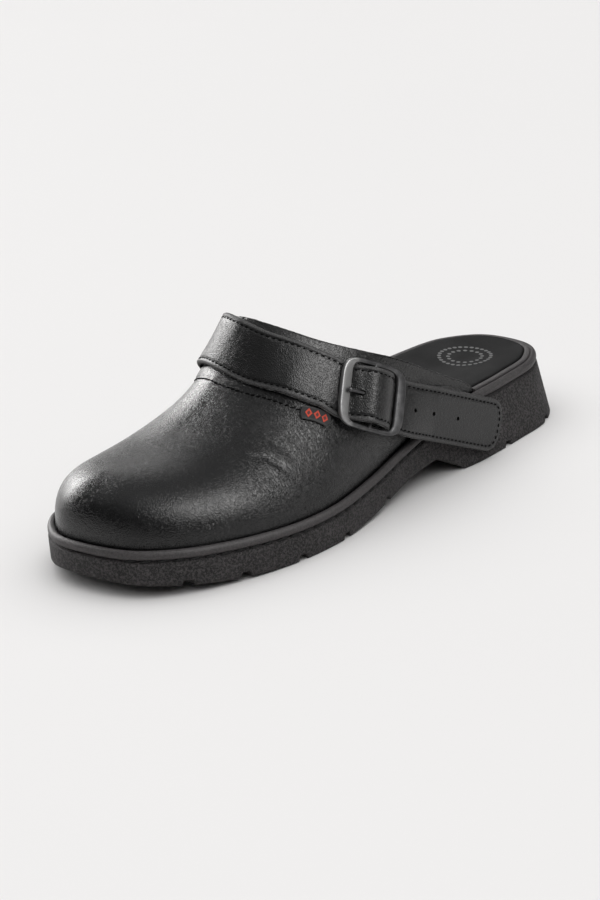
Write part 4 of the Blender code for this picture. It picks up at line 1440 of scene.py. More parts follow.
@dataclass
class Upper:
    """Leather upper: one wall, creased over the ball, with its stitched seam."""

    last: Last
    maker: Maker
    across: int = 46
    smoothing: int = 5
    cap_end: float = -98.0 * MM
    cap_smoothing: int = 14
    bend_end: float = -12.0 * MM
    corner_start: float = 66.0 * MM
    ledge: float = 0.45 * MM
    seam_width: float = 0.55 * MM
    seam_depth: float = 0.3 * MM
    ripple: float = 0.16 * MM
    edge_rows: int = 7
    # Creases: gain, then height, place and width of the ridge beside each, in widths of the crease.
    crease_gain: float = 1.35
    ridge: tuple[float, float, float] = (0.55, 2.1, 1.1)
    flex_reach: float = 11.0
    sewing: Stitching = Stitching(2.7 * MM, 2.35 * MM, 0.42 * MM, 14.0, 0.05 * MM)

    def _places(self) -> tuple[Points, Points]:
        """Places of the sections.

        Returns:
            Those ahead of the throat and those behind it.
        """
        last, plan = self.last, self.last.plan
        front, fan = plan.station(last.throat), last.fan_place
        ahead = np.concatenate([np.linspace(0.0, fan, 36)[:-1], np.linspace(fan, front, 38)])
        bend = front + (plan.station(self.bend_end) - front) * np.linspace(0.0, 1.0, 34) ** 2
        side = np.linspace(bend[-1], plan.station(self.corner_start), 50)[1:]
        corner = np.linspace(side[-1], plan.station(last.upper_end), 12)[1:]
        return ahead, np.concatenate([bend, side, corner])

    def _section(self, side: Side, t: float) -> Points:
        """Evenly spaced points of a section, from the sole up.

        Args:
            side: which side of the shoe.
            t: place along the outline.

        Returns:
            The points.
        """
        dense = self.last.skin(side, t, np.linspace(0.0, 1.0, 400) ** 1.3 * self.last.top_angle(side, t))
        reach = reach_of(dense)
        return between(np.linspace(0.0, reach[-1], self.across), reach, dense)

    def _path(self, rows: Sequence[Pair], count: int) -> tuple[Points, Points]:
        """Close points on the skin through places of a table.

        Args:
            rows: the places, as degrees and stations.
            count: number of points.

        Returns:
            The points and their outward directions.
        """
        table = np.array(rows)
        step = np.diff(table, axis=0) * (0.6, 1.0)
        reach = running(np.hypot(step[:, 0], step[:, 1]))
        table = Curve(reach, table).at(np.linspace(0.0, reach[-1], count))
        points, outs = zip(*(self.last.around(*row) for row in table))
        return np.array(points), np.array(outs)

    def _creased(self, mesh: Mesh) -> None:
        """Press the creases, the seam and a faint ripple into the skin.

        Args:
            mesh: the skin.
        """
        places, outs = coordinates(mesh)
        lift = np.zeros(len(places))
        flex = np.zeros(len(places))
        for width, depth, *rows in CREASES:
            path, _ = self._path(rows, 40)
            away = np.linalg.norm(places[:, None] - path[None], axis=2)
            nearest = np.argmin(away, axis=1)
            distance, share = away.min(axis=1) / (width * MM), nearest / (len(path) - 1)
            fade = np.sin(np.pi * np.clip(share, 0.04, 0.96)) ** 0.7
            high, beside, wide = self.ridge
            ridge = high * np.exp(-((distance - beside) / wide) ** 2)
            lift += self.crease_gain * depth * MM * fade * (ridge - np.exp(-distance ** 2))
            flex = np.maximum(flex, np.exp(-((distance * width) / self.flex_reach) ** 2))
        path, _ = self._path(SEAM_LINE, 220)
        away = np.linalg.norm(places[:, None] - path[None], axis=2)
        nearest, distance = np.argmin(away, axis=1), away.min(axis=1)
        behind = places[:, 1] - path[nearest, 1] + 0.25 * (places[:, 2] - path[nearest, 2])
        ends = ease(nearest, 0, 14) * ease(nearest, len(path) - 1, len(path) - 15)
        lift -= self.seam_depth * np.exp(-(distance / self.seam_width) ** 2) * ends
        step = ease(distance, 0.5 * MM, 1.3 * MM) * ease(distance, 9 * MM, 4 * MM)
        raised = np.where(behind > 0, step, 0.0)
        lift += self.ledge * raised * ends
        spots = [Vector(p) for p in places]
        wavy = np.array([noise.noise(p * 55.0) + 0.5 * noise.noise(p * 130.0) for p in spots])
        calm = ease(places[:, 2] - self.last.welt.at(places[:, 1]), 1 * MM, 8 * MM)
        lift += self.ripple * wavy * calm * (0.35 + flex)
        ball = np.exp(-((places[:, 1] + 52 * MM) / (26 * MM)) ** 2)
        keep_values(mesh, Layer.FLEX, np.clip(0.18 + 0.9 * flex + 0.35 * ball * (places[:, 0] > 0), 0.0, 1.0))
        moved(mesh, places + outs * lift[:, None])

    def build(self, finishes: Sequence[Finish]) -> Thing:
        """Make the upper.

        Args:
            finishes: its leather, cut edge and lining.

        Returns:
            The piece.
        """
        ahead, rear = self._places()
        halves = [(self._section(Side.OUTER, t), self._section(Side.INNER, t)[-2::-1]) for t in ahead]
        parts = [sheet(np.array([np.concatenate(pair) for pair in halves]))]
        parts += [sheet(np.array([self._section(side, t) for t in rear])) for side in Side]
        mesh = joined(parts, SEAM_WELD)
        inside = [v for v in mesh.verts if not v.is_boundary]
        cap = [v for v in inside if v.co.y < self.cap_end]
        axes = dict.fromkeys(("use_axis_x", "use_axis_y", "use_axis_z"), True)
        for verts in [inside] * self.smoothing + [cap] * self.cap_smoothing:
            bmesh.ops.smooth_vert(mesh, verts=verts, factor=0.5, **axes)
        outward(mesh).normal_update()
        middles = [(face.calc_center_median(), face) for face in mesh.faces]
        toe = max(middles, key=lambda row: row[0].z - abs(row[0].y + 90 * MM) * 4)[1]
        if toe.normal.z < 0:
            bmesh.ops.reverse_faces(mesh, faces=mesh.faces)
        self._creased(mesh)
        keep_values(mesh, Layer.DEPTH, np.zeros(len(mesh.verts)))
        self._thicken(mesh)
        by_depth(mesh)
        return self.maker.piece("upper_leather", mesh, finishes, Slot.LEATHER, ["upper"], 60.0)

    def _thicken(self, mesh: Mesh) -> None:
        """Give the skin its wall and the wall its layered edge.

        Args:
            mesh: the skin, which becomes the solid.
        """
        mesh.normal_update()
        outer = list(mesh.verts)
        normals = [v.normal.copy() for v in outer]
        grown = bmesh.ops.extrude_face_region(mesh, geom=list(mesh.faces), use_keep_orig=True)
        inner = [item for item in grown["geom"] if isinstance(item, bmesh.types.BMVert)]
        kept = mesh.verts.layers.float[Layer.DEPTH.value]
        turned = {tuple(round(c, 8) for c in v.co): n for v, n in zip(outer, normals)}
        for vert in inner:
            vert[kept] = 1.0
            vert.co -= turned[tuple(round(c, 8) for c in vert.co)] * self.last.wall
        outward(mesh)
        if mesh.calc_volume(signed=True) < 0:
            bmesh.ops.reverse_faces(mesh, faces=mesh.faces)
        rungs = [e for e in mesh.edges if abs(e.verts[0][kept] - e.verts[1][kept]) > 0.5]
        bmesh.ops.subdivide_edges(mesh, edges=rungs, cuts=self.edge_rows, use_grid_fill=True)
        mesh.normal_update()
        for vert in [v for v in mesh.verts if 0.01 < v[kept] < 0.99]:
            depth = vert[kept]
            swell = 0.42 * math.sin(math.pi * depth) ** 0.6 - 0.34 * math.exp(-((depth - 0.52) / 0.09) ** 2)
            loose = 0.12 * noise.noise(vert.co * 900.0)
            vert.co += vert.normal * (swell + loose) * MM

    def build_seam(self, finish: Finish) -> Thing:
        """Make the stitches of the vamp seam."""
        stitches = self.sewing.sew(*self._path(SEAM_LINE, 260))
        return self.maker.piece("vamp_stitches", stitches, [finish], Slot.LEATHER)


@dataclass
class Strip:
    """Flat strip along a line, with cut edges; a trough with stitches runs round it inside a swollen rim."""

    line: Line
    thick: float
    half: Callable[[Points], Points]
    spacing: float = 0.85 * MM
    across: int = 40
    seam: float = 2.3 * MM
    trough: float = 0.0
    puff: float = 0.0
    swell: float = 0.18 * MM
    edge: float = 0.45 * MM
    fray: float = 0.07 * MM

    def __post_init__(self) -> None:
        """Space the rows evenly along the strip's outline."""
        dense = np.linspace(0.0, self.line.length, 6000)
        width = np.array([self.half(s) for s in dense])
        reach = running(np.hypot(np.diff(dense), np.diff(width)))
        even = np.linspace(0.0, reach[-1], int(reach[-1] / self.spacing))
        self.places = np.interp(even, reach, dense)[1:-1]
        self.widths = np.interp(self.places, dense, width)
        self.outline = np.concatenate([
            np.stack([dense, width], axis=-1)[::12], np.stack([dense, -width], axis=-1)[::-12],
        ])

    def inside(self, s: Points, a: Points) -> Points:
        """Distance of unrolled places from the outline of the strip.

        Args:
            s: places along the strip.
            a: places across it.

        Returns:
            The distances.
        """
        flat = np.stack([s.ravel(), a.ravel()], axis=-1)
        away = [np.hypot(*(self.outline - place).T).min() for place in flat]
        return np.array(away).reshape(s.shape)

    def relief(self, s: Points, distance: Points) -> Points:
        """Height of the top over its flat; the trough fades out towards the far end.

        Args:
            s: places along the strip.
            distance: distances to the outline.

        Returns:
            The heights.
        """
        pressed = ease(self.line.length - s, 4 * MM, 8 * MM)
        rolled = -self.edge * np.clip(1 - distance / self.edge, 0.0, 1.0) ** 2
        dip = -self.trough * pressed * np.exp(-(((distance - self.seam) / (0.55 * MM)) ** 2))
        return rolled + dip + self.puff * (1 - np.exp(-np.clip(distance - self.seam, 0.0, None) / (2.5 * MM)))

    def lifted(self, s: Points, a: Points, up: Points) -> tuple[Points, Points]:
        """Points in space for unrolled places.

        Args:
            s: places along the strip.
            a: places across it.
            up: heights over its middle.

        Returns:
            The points and their outward directions.
        """
        point, along, out = self.line.frames(s)
        side = np.cross(out, along)
        return point + side * np.asarray(a)[..., None] + out * np.asarray(up)[..., None], out

    def solid(self) -> Mesh:
        """Mesh of the strip.

        Returns:
            A new mesh that keeps depth, the rim band's scuffs and painted highlight, and unrolled places on
            its vertices.
        """
        turn, even = np.linspace(-math.pi / 2, math.pi / 2, self.across), np.linspace(-1, 1, self.across)
        share = np.sin(turn) * 0.55 + even * 0.45
        s = np.broadcast_to(self.places[:, None], (len(self.places), self.across))
        a = self.widths[:, None] * share[None]
        distance = self.inside(s, a)
        top = self.thick / 2 + self.relief(s, distance)
        # Band round the rim inside the stitches: scuffs plus a painted highlight where the rim catches light.
        worn = 1 - ease(distance, 0.35 * self.seam, 0.75 * self.seam)
        depth = np.arange(1, 10) / 10
        notch = 0.6 * self.swell * np.exp(-((depth - 0.5) / 0.08) ** 2)
        bulge = self.swell * np.sin(np.pi * depth) ** 0.6 - notch
        wide, low, floor = self.widths[None], share[::3], -self.thick / 2
        start, end = top[:, 0], top[:, -1]
        rows_a = [a[:, ::-1].T, -(wide + bulge[:, None]), wide * low[:, None], wide + bulge[::-1, None]]
        rows_up = [
            top[:, ::-1].T, start[None] + (floor - start)[None] * depth[:, None],
            np.full((len(low), len(self.places)), floor), end[None] + (floor - end)[None] * depth[::-1, None],
        ]
        kept = np.concatenate([np.zeros(self.across), depth, np.ones(len(low)), depth[::-1]])
        a, up = np.concatenate(rows_a).T, np.concatenate(rows_up).T
        s = np.broadcast_to(self.places[:, None], a.shape)
        points, _ = self.lifted(s, a, up)
        rough = (kept > 0.05) & (kept < 0.95)
        for i, j in zip(*np.nonzero(np.broadcast_to(rough, a.shape))):
            points[i, j] += np.array(noise.noise_vector(Vector(points[i, j]) * 1100.0)) * self.fray
        sides = np.ones((len(self.places), len(depth)))
        worn = np.concatenate([worn[:, ::-1], sides, np.zeros((len(sides), len(low))), sides], axis=1)
        depths = np.broadcast_to(kept, a.shape)
        mesh = tube(points, {Layer.DEPTH: depths, Layer.ALONG: s, Layer.ACROSS: a, Layer.POLISH: worn})
        by_depth(mesh)
        unroll(mesh)
        return mesh

    def stitches(self, sewing: Stitching, start: float = 0.0) -> Mesh:
        """Stitches along both edges and round the far end.

        Args:
            sewing: kind of stitches.
            start: distance at which they start.

        Returns:
            A new mesh.
        """
        dense = np.linspace(start, self.line.length - 1e-5, 3000)
        width = np.array([self.half(s) for s in dense])
        turn = unit(np.stack([np.gradient(width), -np.gradient(dense)], axis=-1))
        right = np.stack([dense, width], axis=-1) + turn * self.seam
        right = right[(right[:, 1] > 0) & (right[:, 0] < self.line.length - self.seam)]
        right = right[self.inside(right[:, 0], right[:, 1]) > 0.96 * self.seam]
        flat = np.concatenate([right, (right * (1, -1))[::-1]])
        up = np.full(len(flat), self.thick / 2) + self.relief(flat[:, 0], np.full(len(flat), self.seam))
        path, outs = self.lifted(flat[:, 0], flat[:, 1], up)
        return sewing.sew(path, outs)


@dataclass
class Buckle:
    """Buckle with its frame, bar, tongue, chape, strap and rivets.

    Places are a station and degrees round the section, or a station and a height; a hole of the tongue is its
    two ends, radius and half length.
    """

    last: Last
    maker: Maker
    place: Pair = (-4.2 * MM, 24.1)
    aim: Pair = (13.0 * MM, 12.0)
    # Half sizes and squareness of the frame, then the rows of its section: shrink, height.
    frame_outer: tuple[float, float, float] = (18.2 * MM, 15.9 * MM, 4.5)
    frame_window: tuple[float, float, float] = (13.0 * MM, 13.5 * MM, 8.0)
    outer_rows: tuple[Pair, ...] = (
        (0.4, -1.0), (0.1, -0.88), (0.0, -0.6), (0.0, 0.5), (0.1, 0.8), (0.34, 0.96), (0.6, 1.0),
    )
    window_rows: tuple[Pair, ...] = (
        (-0.55, 1.0), (-0.45, 0.94), (-0.05, 0.55), (0.0, 0.42), (0.0, -0.6), (-0.12, -0.88), (-0.4, -1.0),
    )
    frame_thick: float = 2.0 * MM
    bar_radius: float = 1.1 * MM
    bar_middle: float = 15.5 * MM
    tongue_radius: float = 0.8 * MM
    tongue_tip: float = 16.0 * MM
    tongue_ball: float = 1.25 * MM
    tongue_hole: tuple[float, float, float, float] = (-2.0 * MM, -12.5 * MM, 1.35 * MM, 5.3 * MM)
    strap_thick: float = 2.2 * MM
    strap_half: float = 12.4 * MM
    strap_end_half: float = 5.0 * MM
    strap_taper: float = 42.0 * MM
    strap_lead: float = 1.8 * MM
    strap_front: float = -21.0 * MM
    tab_tip: tuple[float, float, float] = (43.4 * MM, 80.8 * MM, 13.2 * MM)
    tab_round: float = 10.0 * MM
    tab_square: float = 2.6
    tab_holes: tuple[float, ...] = (34.1 * MM, 52.5 * MM, 66.6 * MM)
    hole_radius: float = 0.95 * MM
    chape_thick: float = 1.3 * MM
    chape_half: float = 8.6 * MM
    chape_end_half: float = 4.8 * MM
    chape_middle: Pair = (26.0 * MM, 41.5 * MM)
    chape_near: float = 14.0 * MM
    chape_bend: float = 6.0 * MM
    chape_slot: tuple[float, float, float] = (11.5 * MM, 2.6 * MM, 9.7 * MM)
    rivet_place: Pair = (53.0 * MM, 35.6 * MM)
    rivet_head: Pair = (4.0 * MM, 1.4 * MM)
    rivet_shank: float = 1.5 * MM
    washer: Pair = (4.0 * MM, 0.9 * MM)
    clear: float = 0.4 * MM

    def __post_init__(self) -> None:
        """Set the buckle's axes and the heights of its layers."""
        plan = self.last.plan
        (self.origin, self.out), (aim, _) = (
            self.last.frame_at(Side.OUTER, plan.station(y), math.radians(degrees))
            for y, degrees in (self.place, self.aim)
        )
        along = aim - self.origin
        self.along = unit(along - self.out * (along @ self.out))
        self.across = np.cross(self.out, self.along)
        front = self.base(-self.bar_middle) + self.clear + self.strap_thick
        rear = self.base(self.bar_middle) + self.clear + 2 * self.chape_thick + 2 * GAP + self.strap_thick
        self.front_strap, self.rear_strap = front - self.strap_thick / 2, rear - self.strap_thick / 2
        self.front = front + 1.6 * GAP + self.frame_thick / 2
        self.rear = rear + 3.5 * GAP + self.frame_thick / 2
        self.bar = 0.5 * (self.front + self.rear)
        self.ring = self.bar_radius + GAP + self.tongue_radius
        self.crown = self.bar + self.ring + self.tongue_radius + GAP + self.strap_thick / 2

    def base(self, along: float) -> float:
        """Height of the upper under the strap at a place along it."""
        return self.last.standoff(self.origin + self.along * along, self.along, self.out, self.strap_half)

    def at(self, along: float, out: float, across: float = 0.0) -> Points:
        """Point in the buckle's own axes."""
        return self.origin + self.along * along + self.out * out + self.across * across

    def tilt(self, along: float) -> float:
        """Middle of the frame's thickness at a place along the strap."""
        return self.bar + (self.rear - self.front) * along / (2 * self.bar_middle)

    def tongue_height(self, along: float) -> float:
        """Middle of the tongue at a place along the strap.

        Args:
            along: the place.

        Returns:
            Its height over the upper.
        """
        high = self.bar + self.ring
        low = self.tilt(-self.bar_middle) + self.frame_thick / 2 + GAP + self.tongue_radius
        return high + (low - high) * min(-along / self.bar_middle, 1.2)

    def strap_line(self) -> Line:
        """Line of the strap.

        Returns:
            Line over the instep, through the buckle and down to the tab.
        """
        rivet, rivet_out = self.last.on_wall(Side.INNER, *self.rivet_place)
        rows = [self.last.around(*row) for row in STRAP_LINE]
        back = unit(rivet - rows[0][0])
        rows = [(rivet + back * self.strap_end_half * 1.1, rivet_out), (rivet, rivet_out), *rows]
        rows.append((self.at(self.strap_front, self.base(self.strap_front), self.strap_lead), self.out))
        track = Line(rows)
        wide, small = track.s[3], self.strap_end_half

        def half(s: float) -> float:
            """Half width of the strap as it widens from the rivet."""
            return small + (self.strap_half - small) * min(s / wide, 1.0)

        lying = laid(self.last, track, track.length - 1.0 * MM, half, self.strap_thick, self.clear)
        crown, front, rear = self.crown, self.front_strap, self.rear_strap
        weave = (
            (-16.8, front, 0.2), (-12.9, front, 0.0), (-7.8, 0.5 * (front + crown), 0.0),
            (-2.6, crown - 0.3 * MM, 0.0), (1.0, crown, 0.0), (4.8, crown - 0.5 * MM, 0.0),
            (9.0, 0.6 * crown + 0.4 * rear, 0.0), (12.8, rear, 0.0), (17.5, rear, 0.0),
            (23.0, rear + 0.2 * MM, 0.0),
        )
        rows = lying + [(self.at(y * MM, up, share * self.strap_lead), self.out) for y, up, share in weave]
        tip, root = np.array(self.tab_tip), rows[-1][0]
        rows += [(root + (tip - root) * share, unit((1.0, 0.0, 0.06))) for share in (0.3, 0.65, 1.0)]
        return Line(rows)

    def _strap_half(self, length: float) -> Callable[[float], float]:
        """Half width along the strap.

        Args:
            length: length of the strap.

        Returns:
            Function of the distance.
        """
        small, full, power = self.strap_end_half, self.strap_half, self.tab_square
        start = 1.1 * small

        def half(s: float) -> float:
            """Half width of the strip.

            Args:
                s: distance along it.

            Returns:
                The half width.
            """
            if s < start:
                return round_end(small, s, start)
            wide = small + (full - small) * min((s - start) / self.strap_taper, 1.0)
            share = 1.0 - min(max((length - s) / self.tab_round, 0.0), 1.0)
            return min(wide, full * max(1 - share ** power, 0.0) ** (1 / power))

        return half

    def build_strap(self, finishes: Sequence[Finish], thread: Finish) -> Thing:
        """Make the strap with its holes and stitches.

        Args:
            finishes: its leather, cut edge and back.
            thread: thread of the stitches.

        Returns:
            The strap's piece.
        """
        line = self.strap_line()
        half = self._strap_half(line.length)
        shape = {"trough": 0.3 * MM, "puff": 0.14 * MM, "edge": 0.8 * MM}
        strip = Strip(line, self.strap_thick, half, 0.6 * MM, 46, **shape)
        strap = self.maker.piece("instep_strap", strip.solid(), finishes, Slot.STRAP, ["strap"], 50.0)
        tools = []
        for number, distance in enumerate(self.tab_holes, start=1):
            point, _, out = (part[0] for part in line.frames(np.array([line.length - distance])))
            tools.append(solid(f"tab_hole_{number}", rod(point, out, self.hole_radius, 4 * MM)))
        *ends, radius, reach = self.tongue_hole
        ahead, behind = (self.at(a, self.tongue_height(a)) for a in ends)
        tools.append(solid("tongue_hole", rod(0.5 * (ahead + behind), unit(behind - ahead), radius, reach)))
        point, out = self.last.on_wall(Side.INNER, *self.rivet_place)
        tools.append(solid("rivet_hole", rod(point, out, self.rivet_shank + GAP, 9 * MM)))
        carve(strap, tools)
        self.maker.piece("strap_stitches", strip.stitches(Stitching(), 14 * MM), [thread], Slot.STRAP)
        return strap

    def build_frame(self, metal: Finish) -> Thing:
        """Make the frame with its bar.

        Args:
            metal: its metal.

        Returns:
            The piece.
        """
        turn = np.linspace(0.0, 2 * math.pi, 145)[:-1]
        rows = [(self.frame_outer, *row) for row in self.outer_rows]
        rows += [(self.frame_window, *row) for row in self.window_rows] + rows[:1]
        rings = []
        for (*halves, power), shrink, up in rows:
            u, w = (
                (half - shrink * MM) * np.sign(wave) * abs(wave) ** (2 / power)
                for half, wave in zip(halves, (np.cos(turn), np.sin(turn)))
            )
            rings.append([self.at(x, self.tilt(x) + up * self.frame_thick / 2, y) for x, y in zip(u, w)])
        mesh = outward(joined([sheet(wrapped(np.array(rings)))], WELD))
        along = (self.origin - coordinates(mesh)[0]) @ self.along
        # The front bar gets the polish layer, painted paler: partly worn metal, partly a painted highlight.
        keep_values(mesh, Layer.POLISH, ease(along, 9 * MM, 12.5 * MM))
        made = self.maker.piece("buckle_ring", mesh, [metal], Slot.METAL, ["buckle_frame"], 50.0)
        reach = self.frame_window[1] + 1.2 * MM
        bar = solid("bar", rod(self.at(0, self.bar), self.across, self.bar_radius, reach, 32))
        carve(made, [bar], add=True)
        return made

    def build_tongue(self, metal: Finish) -> Thing:
        """Make the tongue: a ring round the bar and a point with a ball at its tip.

        Args:
            metal: its metal.

        Returns:
            The piece.
        """
        turns, tip = np.radians(np.arange(-170, 91, 10)), -self.tongue_tip
        points = [self.at(self.ring * math.cos(a), self.bar + self.ring * math.sin(a)) for a in turns]
        points += [self.at(y, self.tongue_height(y)) for y in (-5 * MM, -10 * MM, -14 * MM)]
        points.append(self.at(tip, self.tongue_height(tip) + 0.25 * MM))
        line, ball = Line([(point, self.across) for point in points]), self.tongue_ball
        middle = line.length - ball
        stem = np.linspace(0.0, middle - 2.2 * ball, 60)
        s = np.concatenate([stem, np.linspace(middle - 2.0 * ball, line.length - 1e-5, 26)])
        swell = np.sqrt(np.clip(ball ** 2 - (s - middle) ** 2, 0.0, None))
        radius = np.maximum(np.where(s > middle, 0.0, self.tongue_radius), swell)[:, None, None]
        point, along, out = (part[:, None] for part in line.frames(s))
        turn = np.linspace(0.0, 2 * math.pi, 17)[:-1][None, :, None]
        rings = point + radius * (np.cross(out, along) * np.cos(turn) + out * np.sin(turn))
        return self.maker.piece("buckle_tongue", tube(rings), [metal], Slot.METAL, ["buckle_prong"], 60.0)

    def build_chape(self, finishes: Sequence[Finish]) -> Thing:
        """Make the leather loop that holds the bar.

        Args:
            finishes: its leather, cut edge and back.

        Returns:
            The piece.
        """
        thick, small, full = self.chape_thick, self.chape_end_half, self.chape_half
        end = 1.1 * small
        rivet, rivet_out = self.last.on_wall(Side.OUTER, *self.rivet_place)
        middle, middle_out = self.last.on_wall(Side.OUTER, *self.chape_middle)
        behind = unit(rivet - middle)
        low = self.clear + thick / 2
        high = low + thick + GAP
        near, turn = self.base(self.chape_near), self.bar_radius + GAP + thick / 2

        def layer(lift: float) -> list[tuple[Points, Points]]:
            """Rows of one layer, from its end at the heel.

            Args:
                lift: height over the upper.

            Returns:
                Points with their outward directions.
            """
            return [
                (rivet + behind * end + rivet_out * lift, rivet_out), (rivet + rivet_out * lift, rivet_out),
                (middle + middle_out * lift, middle_out), (self.at(self.chape_near, near + lift), self.out),
            ]

        def bend(degrees: float) -> tuple[Points, Points]:
            """Row of the turn round the bar."""
            angle = math.radians(degrees)
            radial = self.along * math.cos(angle) + self.out * math.sin(angle)
            return self.at(0, self.bar) + radial * turn, radial

        rows = [(p, -o) for p, o in layer(low)]
        rows.append((self.at(self.chape_bend, 0.45 * (near + low) + 0.55 * (self.bar - turn)), -self.out))
        rows += [bend(a) for a in (-78, -115, -150, -180, -210, -245, -282)]
        rows.append((self.at(self.chape_bend, 0.5 * (near + high + self.bar + turn)), self.out))
        rows += layer(high)[::-1]
        line = Line(rows)

        def half(s: float) -> float:
            """Half width of the strip.

            Args:
                s: distance along it.

            Returns:
                The half width.
            """
            d = min(s, line.length - s)
            if d < end:
                return round_end(small, d, end)
            return small + (full - small) * min((d - end) / (0.275 * line.length), 1.0)

        shape = {"edge": 0.25 * MM, "swell": 0.06 * MM, "fray": 0.04 * MM}
        strip = Strip(line, thick, half, 0.8 * MM, 24, **shape)
        made = self.maker.piece("chape_loop", strip.solid(), finishes, Slot.STRAP, ["buckle_chape"], 50.0)
        box = bmesh.new()
        axes = Matrix((self.along, self.across, self.out)).transposed().to_4x4()
        place = Matrix.Translation(Vector(self.at(-0.25 * MM, self.bar - 0.35 * MM)))
        size = Matrix.Diagonal((*self.chape_slot, 1.0))
        bmesh.ops.create_cube(box, size=1.0, matrix=place @ axes @ size)
        hole = rod(rivet, rivet_out, self.rivet_shank + GAP, 9 * MM)
        tools = [solid("slot", box), solid("rivet_hole", hole)]
        carve(made, tools)
        return made

    def build_rivet(self, name: str, node: str, side: Side, layers: float, metal: Finish) -> Thing:
        """Make a rivet: domed head, shank and washer, turned about its axis.

        Args:
            name: name of the piece.
            node: solid that it stands for.
            side: which side of the shoe.
            layers: height of what lies under its head.
            metal: its metal.

        Returns:
            The piece.
        """
        point, out = self.last.on_wall(side, *self.rivet_place)
        head, seat = layers + GAP, -self.last.wall - GAP
        radius, rise = self.rivet_head
        dome = [
            (radius * math.cos(a) ** 0.85, head + 0.12 * rise + 0.88 * rise * math.sin(a))
            for a in np.linspace(math.pi / 2, 0, 10)
        ]
        profile = dome + [(radius, head), (self.rivet_shank, head), (self.rivet_shank, seat)]
        wide, thick = self.washer
        bevel = 0.2 * MM
        profile += [(wide - bevel, seat), (wide, seat - bevel), (wide, seat - thick + bevel)]
        profile += [(wide - bevel, seat - thick), (0.0, seat - thick)]
        cross = unit(np.cross(out, (0.0, 0.0, 1.0)))
        mesh = bmesh.new()
        verts = [mesh.verts.new(point + out * height + cross * wide) for wide, height in profile]
        edges = [mesh.edges.new(pair) for pair in zip(verts, verts[1:])]
        bmesh.ops.spin(
            mesh, geom=verts + edges, cent=Vector(point), axis=Vector(out), angle=2 * math.pi, steps=40,
            use_merge=True,
        )
        bmesh.ops.remove_doubles(mesh, verts=mesh.verts, dist=WELD)
        outward(mesh)
        return self.maker.piece(name, mesh, [metal], Slot.METAL, [node], 40.0)


@dataclass
class Tag:
    """Woven tag sewn in below the strap."""

    last: Last
    maker: Maker
    half: float = 3.0 * MM
    thick: float = 0.8 * MM
    corner: float = 2.6 * MM
    clear: float = 0.4 * MM

    def build(self, cloth: Finish) -> Thing:
        """Make the tag.

        Args:
            cloth: its cloth.

        Returns:
            The piece.
        """
        track = Line([self.last.around(*row) for row in TAG_LINE])
        line = Line(laid(self.last, track, track.length, lambda s: self.half, self.thick, self.clear))

        def half(s: float) -> float:
            """Half width at a distance; the corners are rounder at the far end."""
            share = np.clip(1 - min(s * 2.5, line.length - s) / self.corner, 0.0, 1.0)
            return self.half - self.corner * (1 - math.sqrt(max(1 - share ** 2, 0.0)))

        strip = Strip(line, self.thick, half, 0.4 * MM, 26, edge=0.3 * MM, swell=0.08 * MM, fray=0.02 * MM)
        return self.maker.piece("woven_tag", strip.solid(), [cloth, cloth, cloth], Slot.TAG, ["label"], 60.0)


@dataclass(frozen=True)
class SoftBox:
    """Large soft lamp."""

    name: str
    place: tuple[float, float, float]
    size: Pair
    power: float
    aim: tuple[float, float, float] = (0.0, 0.0, 0.04)
    colour: Colour = (1.0, 0.99, 0.98)

    def hang(self) -> None:
        """Put the lamp in the scene."""
        lamp = bpy.data.lights.new(self.name, "AREA")
        lamp.shape, lamp.size, lamp.size_y = "RECTANGLE", *self.size
        lamp.energy, lamp.color = self.power, self.colour
        made = linked(self.name, lamp)
        place = Vector(self.place)
        turn = (place - Vector(self.aim)).to_track_quat("Z", "Y").to_matrix().to_4x4()
        made.matrix_world = Matrix.Translation(place) @ turn
        made.visible_diffuse = False


@dataclass(frozen=True)
class Viewpoint:
    """Camera of the photograph, rolled as it was held."""

    place: tuple[float, float, float] = (0.8352, -0.82965, 0.4555)
    right: tuple[float, float, float] = (0.7216, 0.6873, -0.0826)
    up: tuple[float, float, float] = (-0.1794, 0.3008, 0.9367)
    away: tuple[float, float, float] = (-0.6686, 0.6611, -0.3404)
    focal: float = 2720.44
    middle: Pair = (311.675, 428.266)
    picture: Pair = (600.0, 900.0)
    sensor: float = 36.0

    def set_up(self) -> None:
        """Put the camera in the scene."""
        lens = bpy.data.cameras.new("camera")
        lens.sensor_fit, lens.sensor_height = "VERTICAL", self.sensor
        lens.lens = self.focal / self.picture[1] * self.sensor
        lens.shift_x = (0.5 * self.picture[0] - self.middle[0]) / self.picture[1]
        lens.shift_y = (self.middle[1] - 0.5 * self.picture[1]) / self.picture[1]
        lens.clip_start, lens.clip_end = 0.05, 60.0
        made = linked("camera", lens)
        turn = Matrix((self.right, self.up, tuple(-c for c in self.away))).transposed()
        made.matrix_world = Matrix.Translation(Vector(self.place)) @ turn.to_4x4()
        bpy.context.scene.camera = made


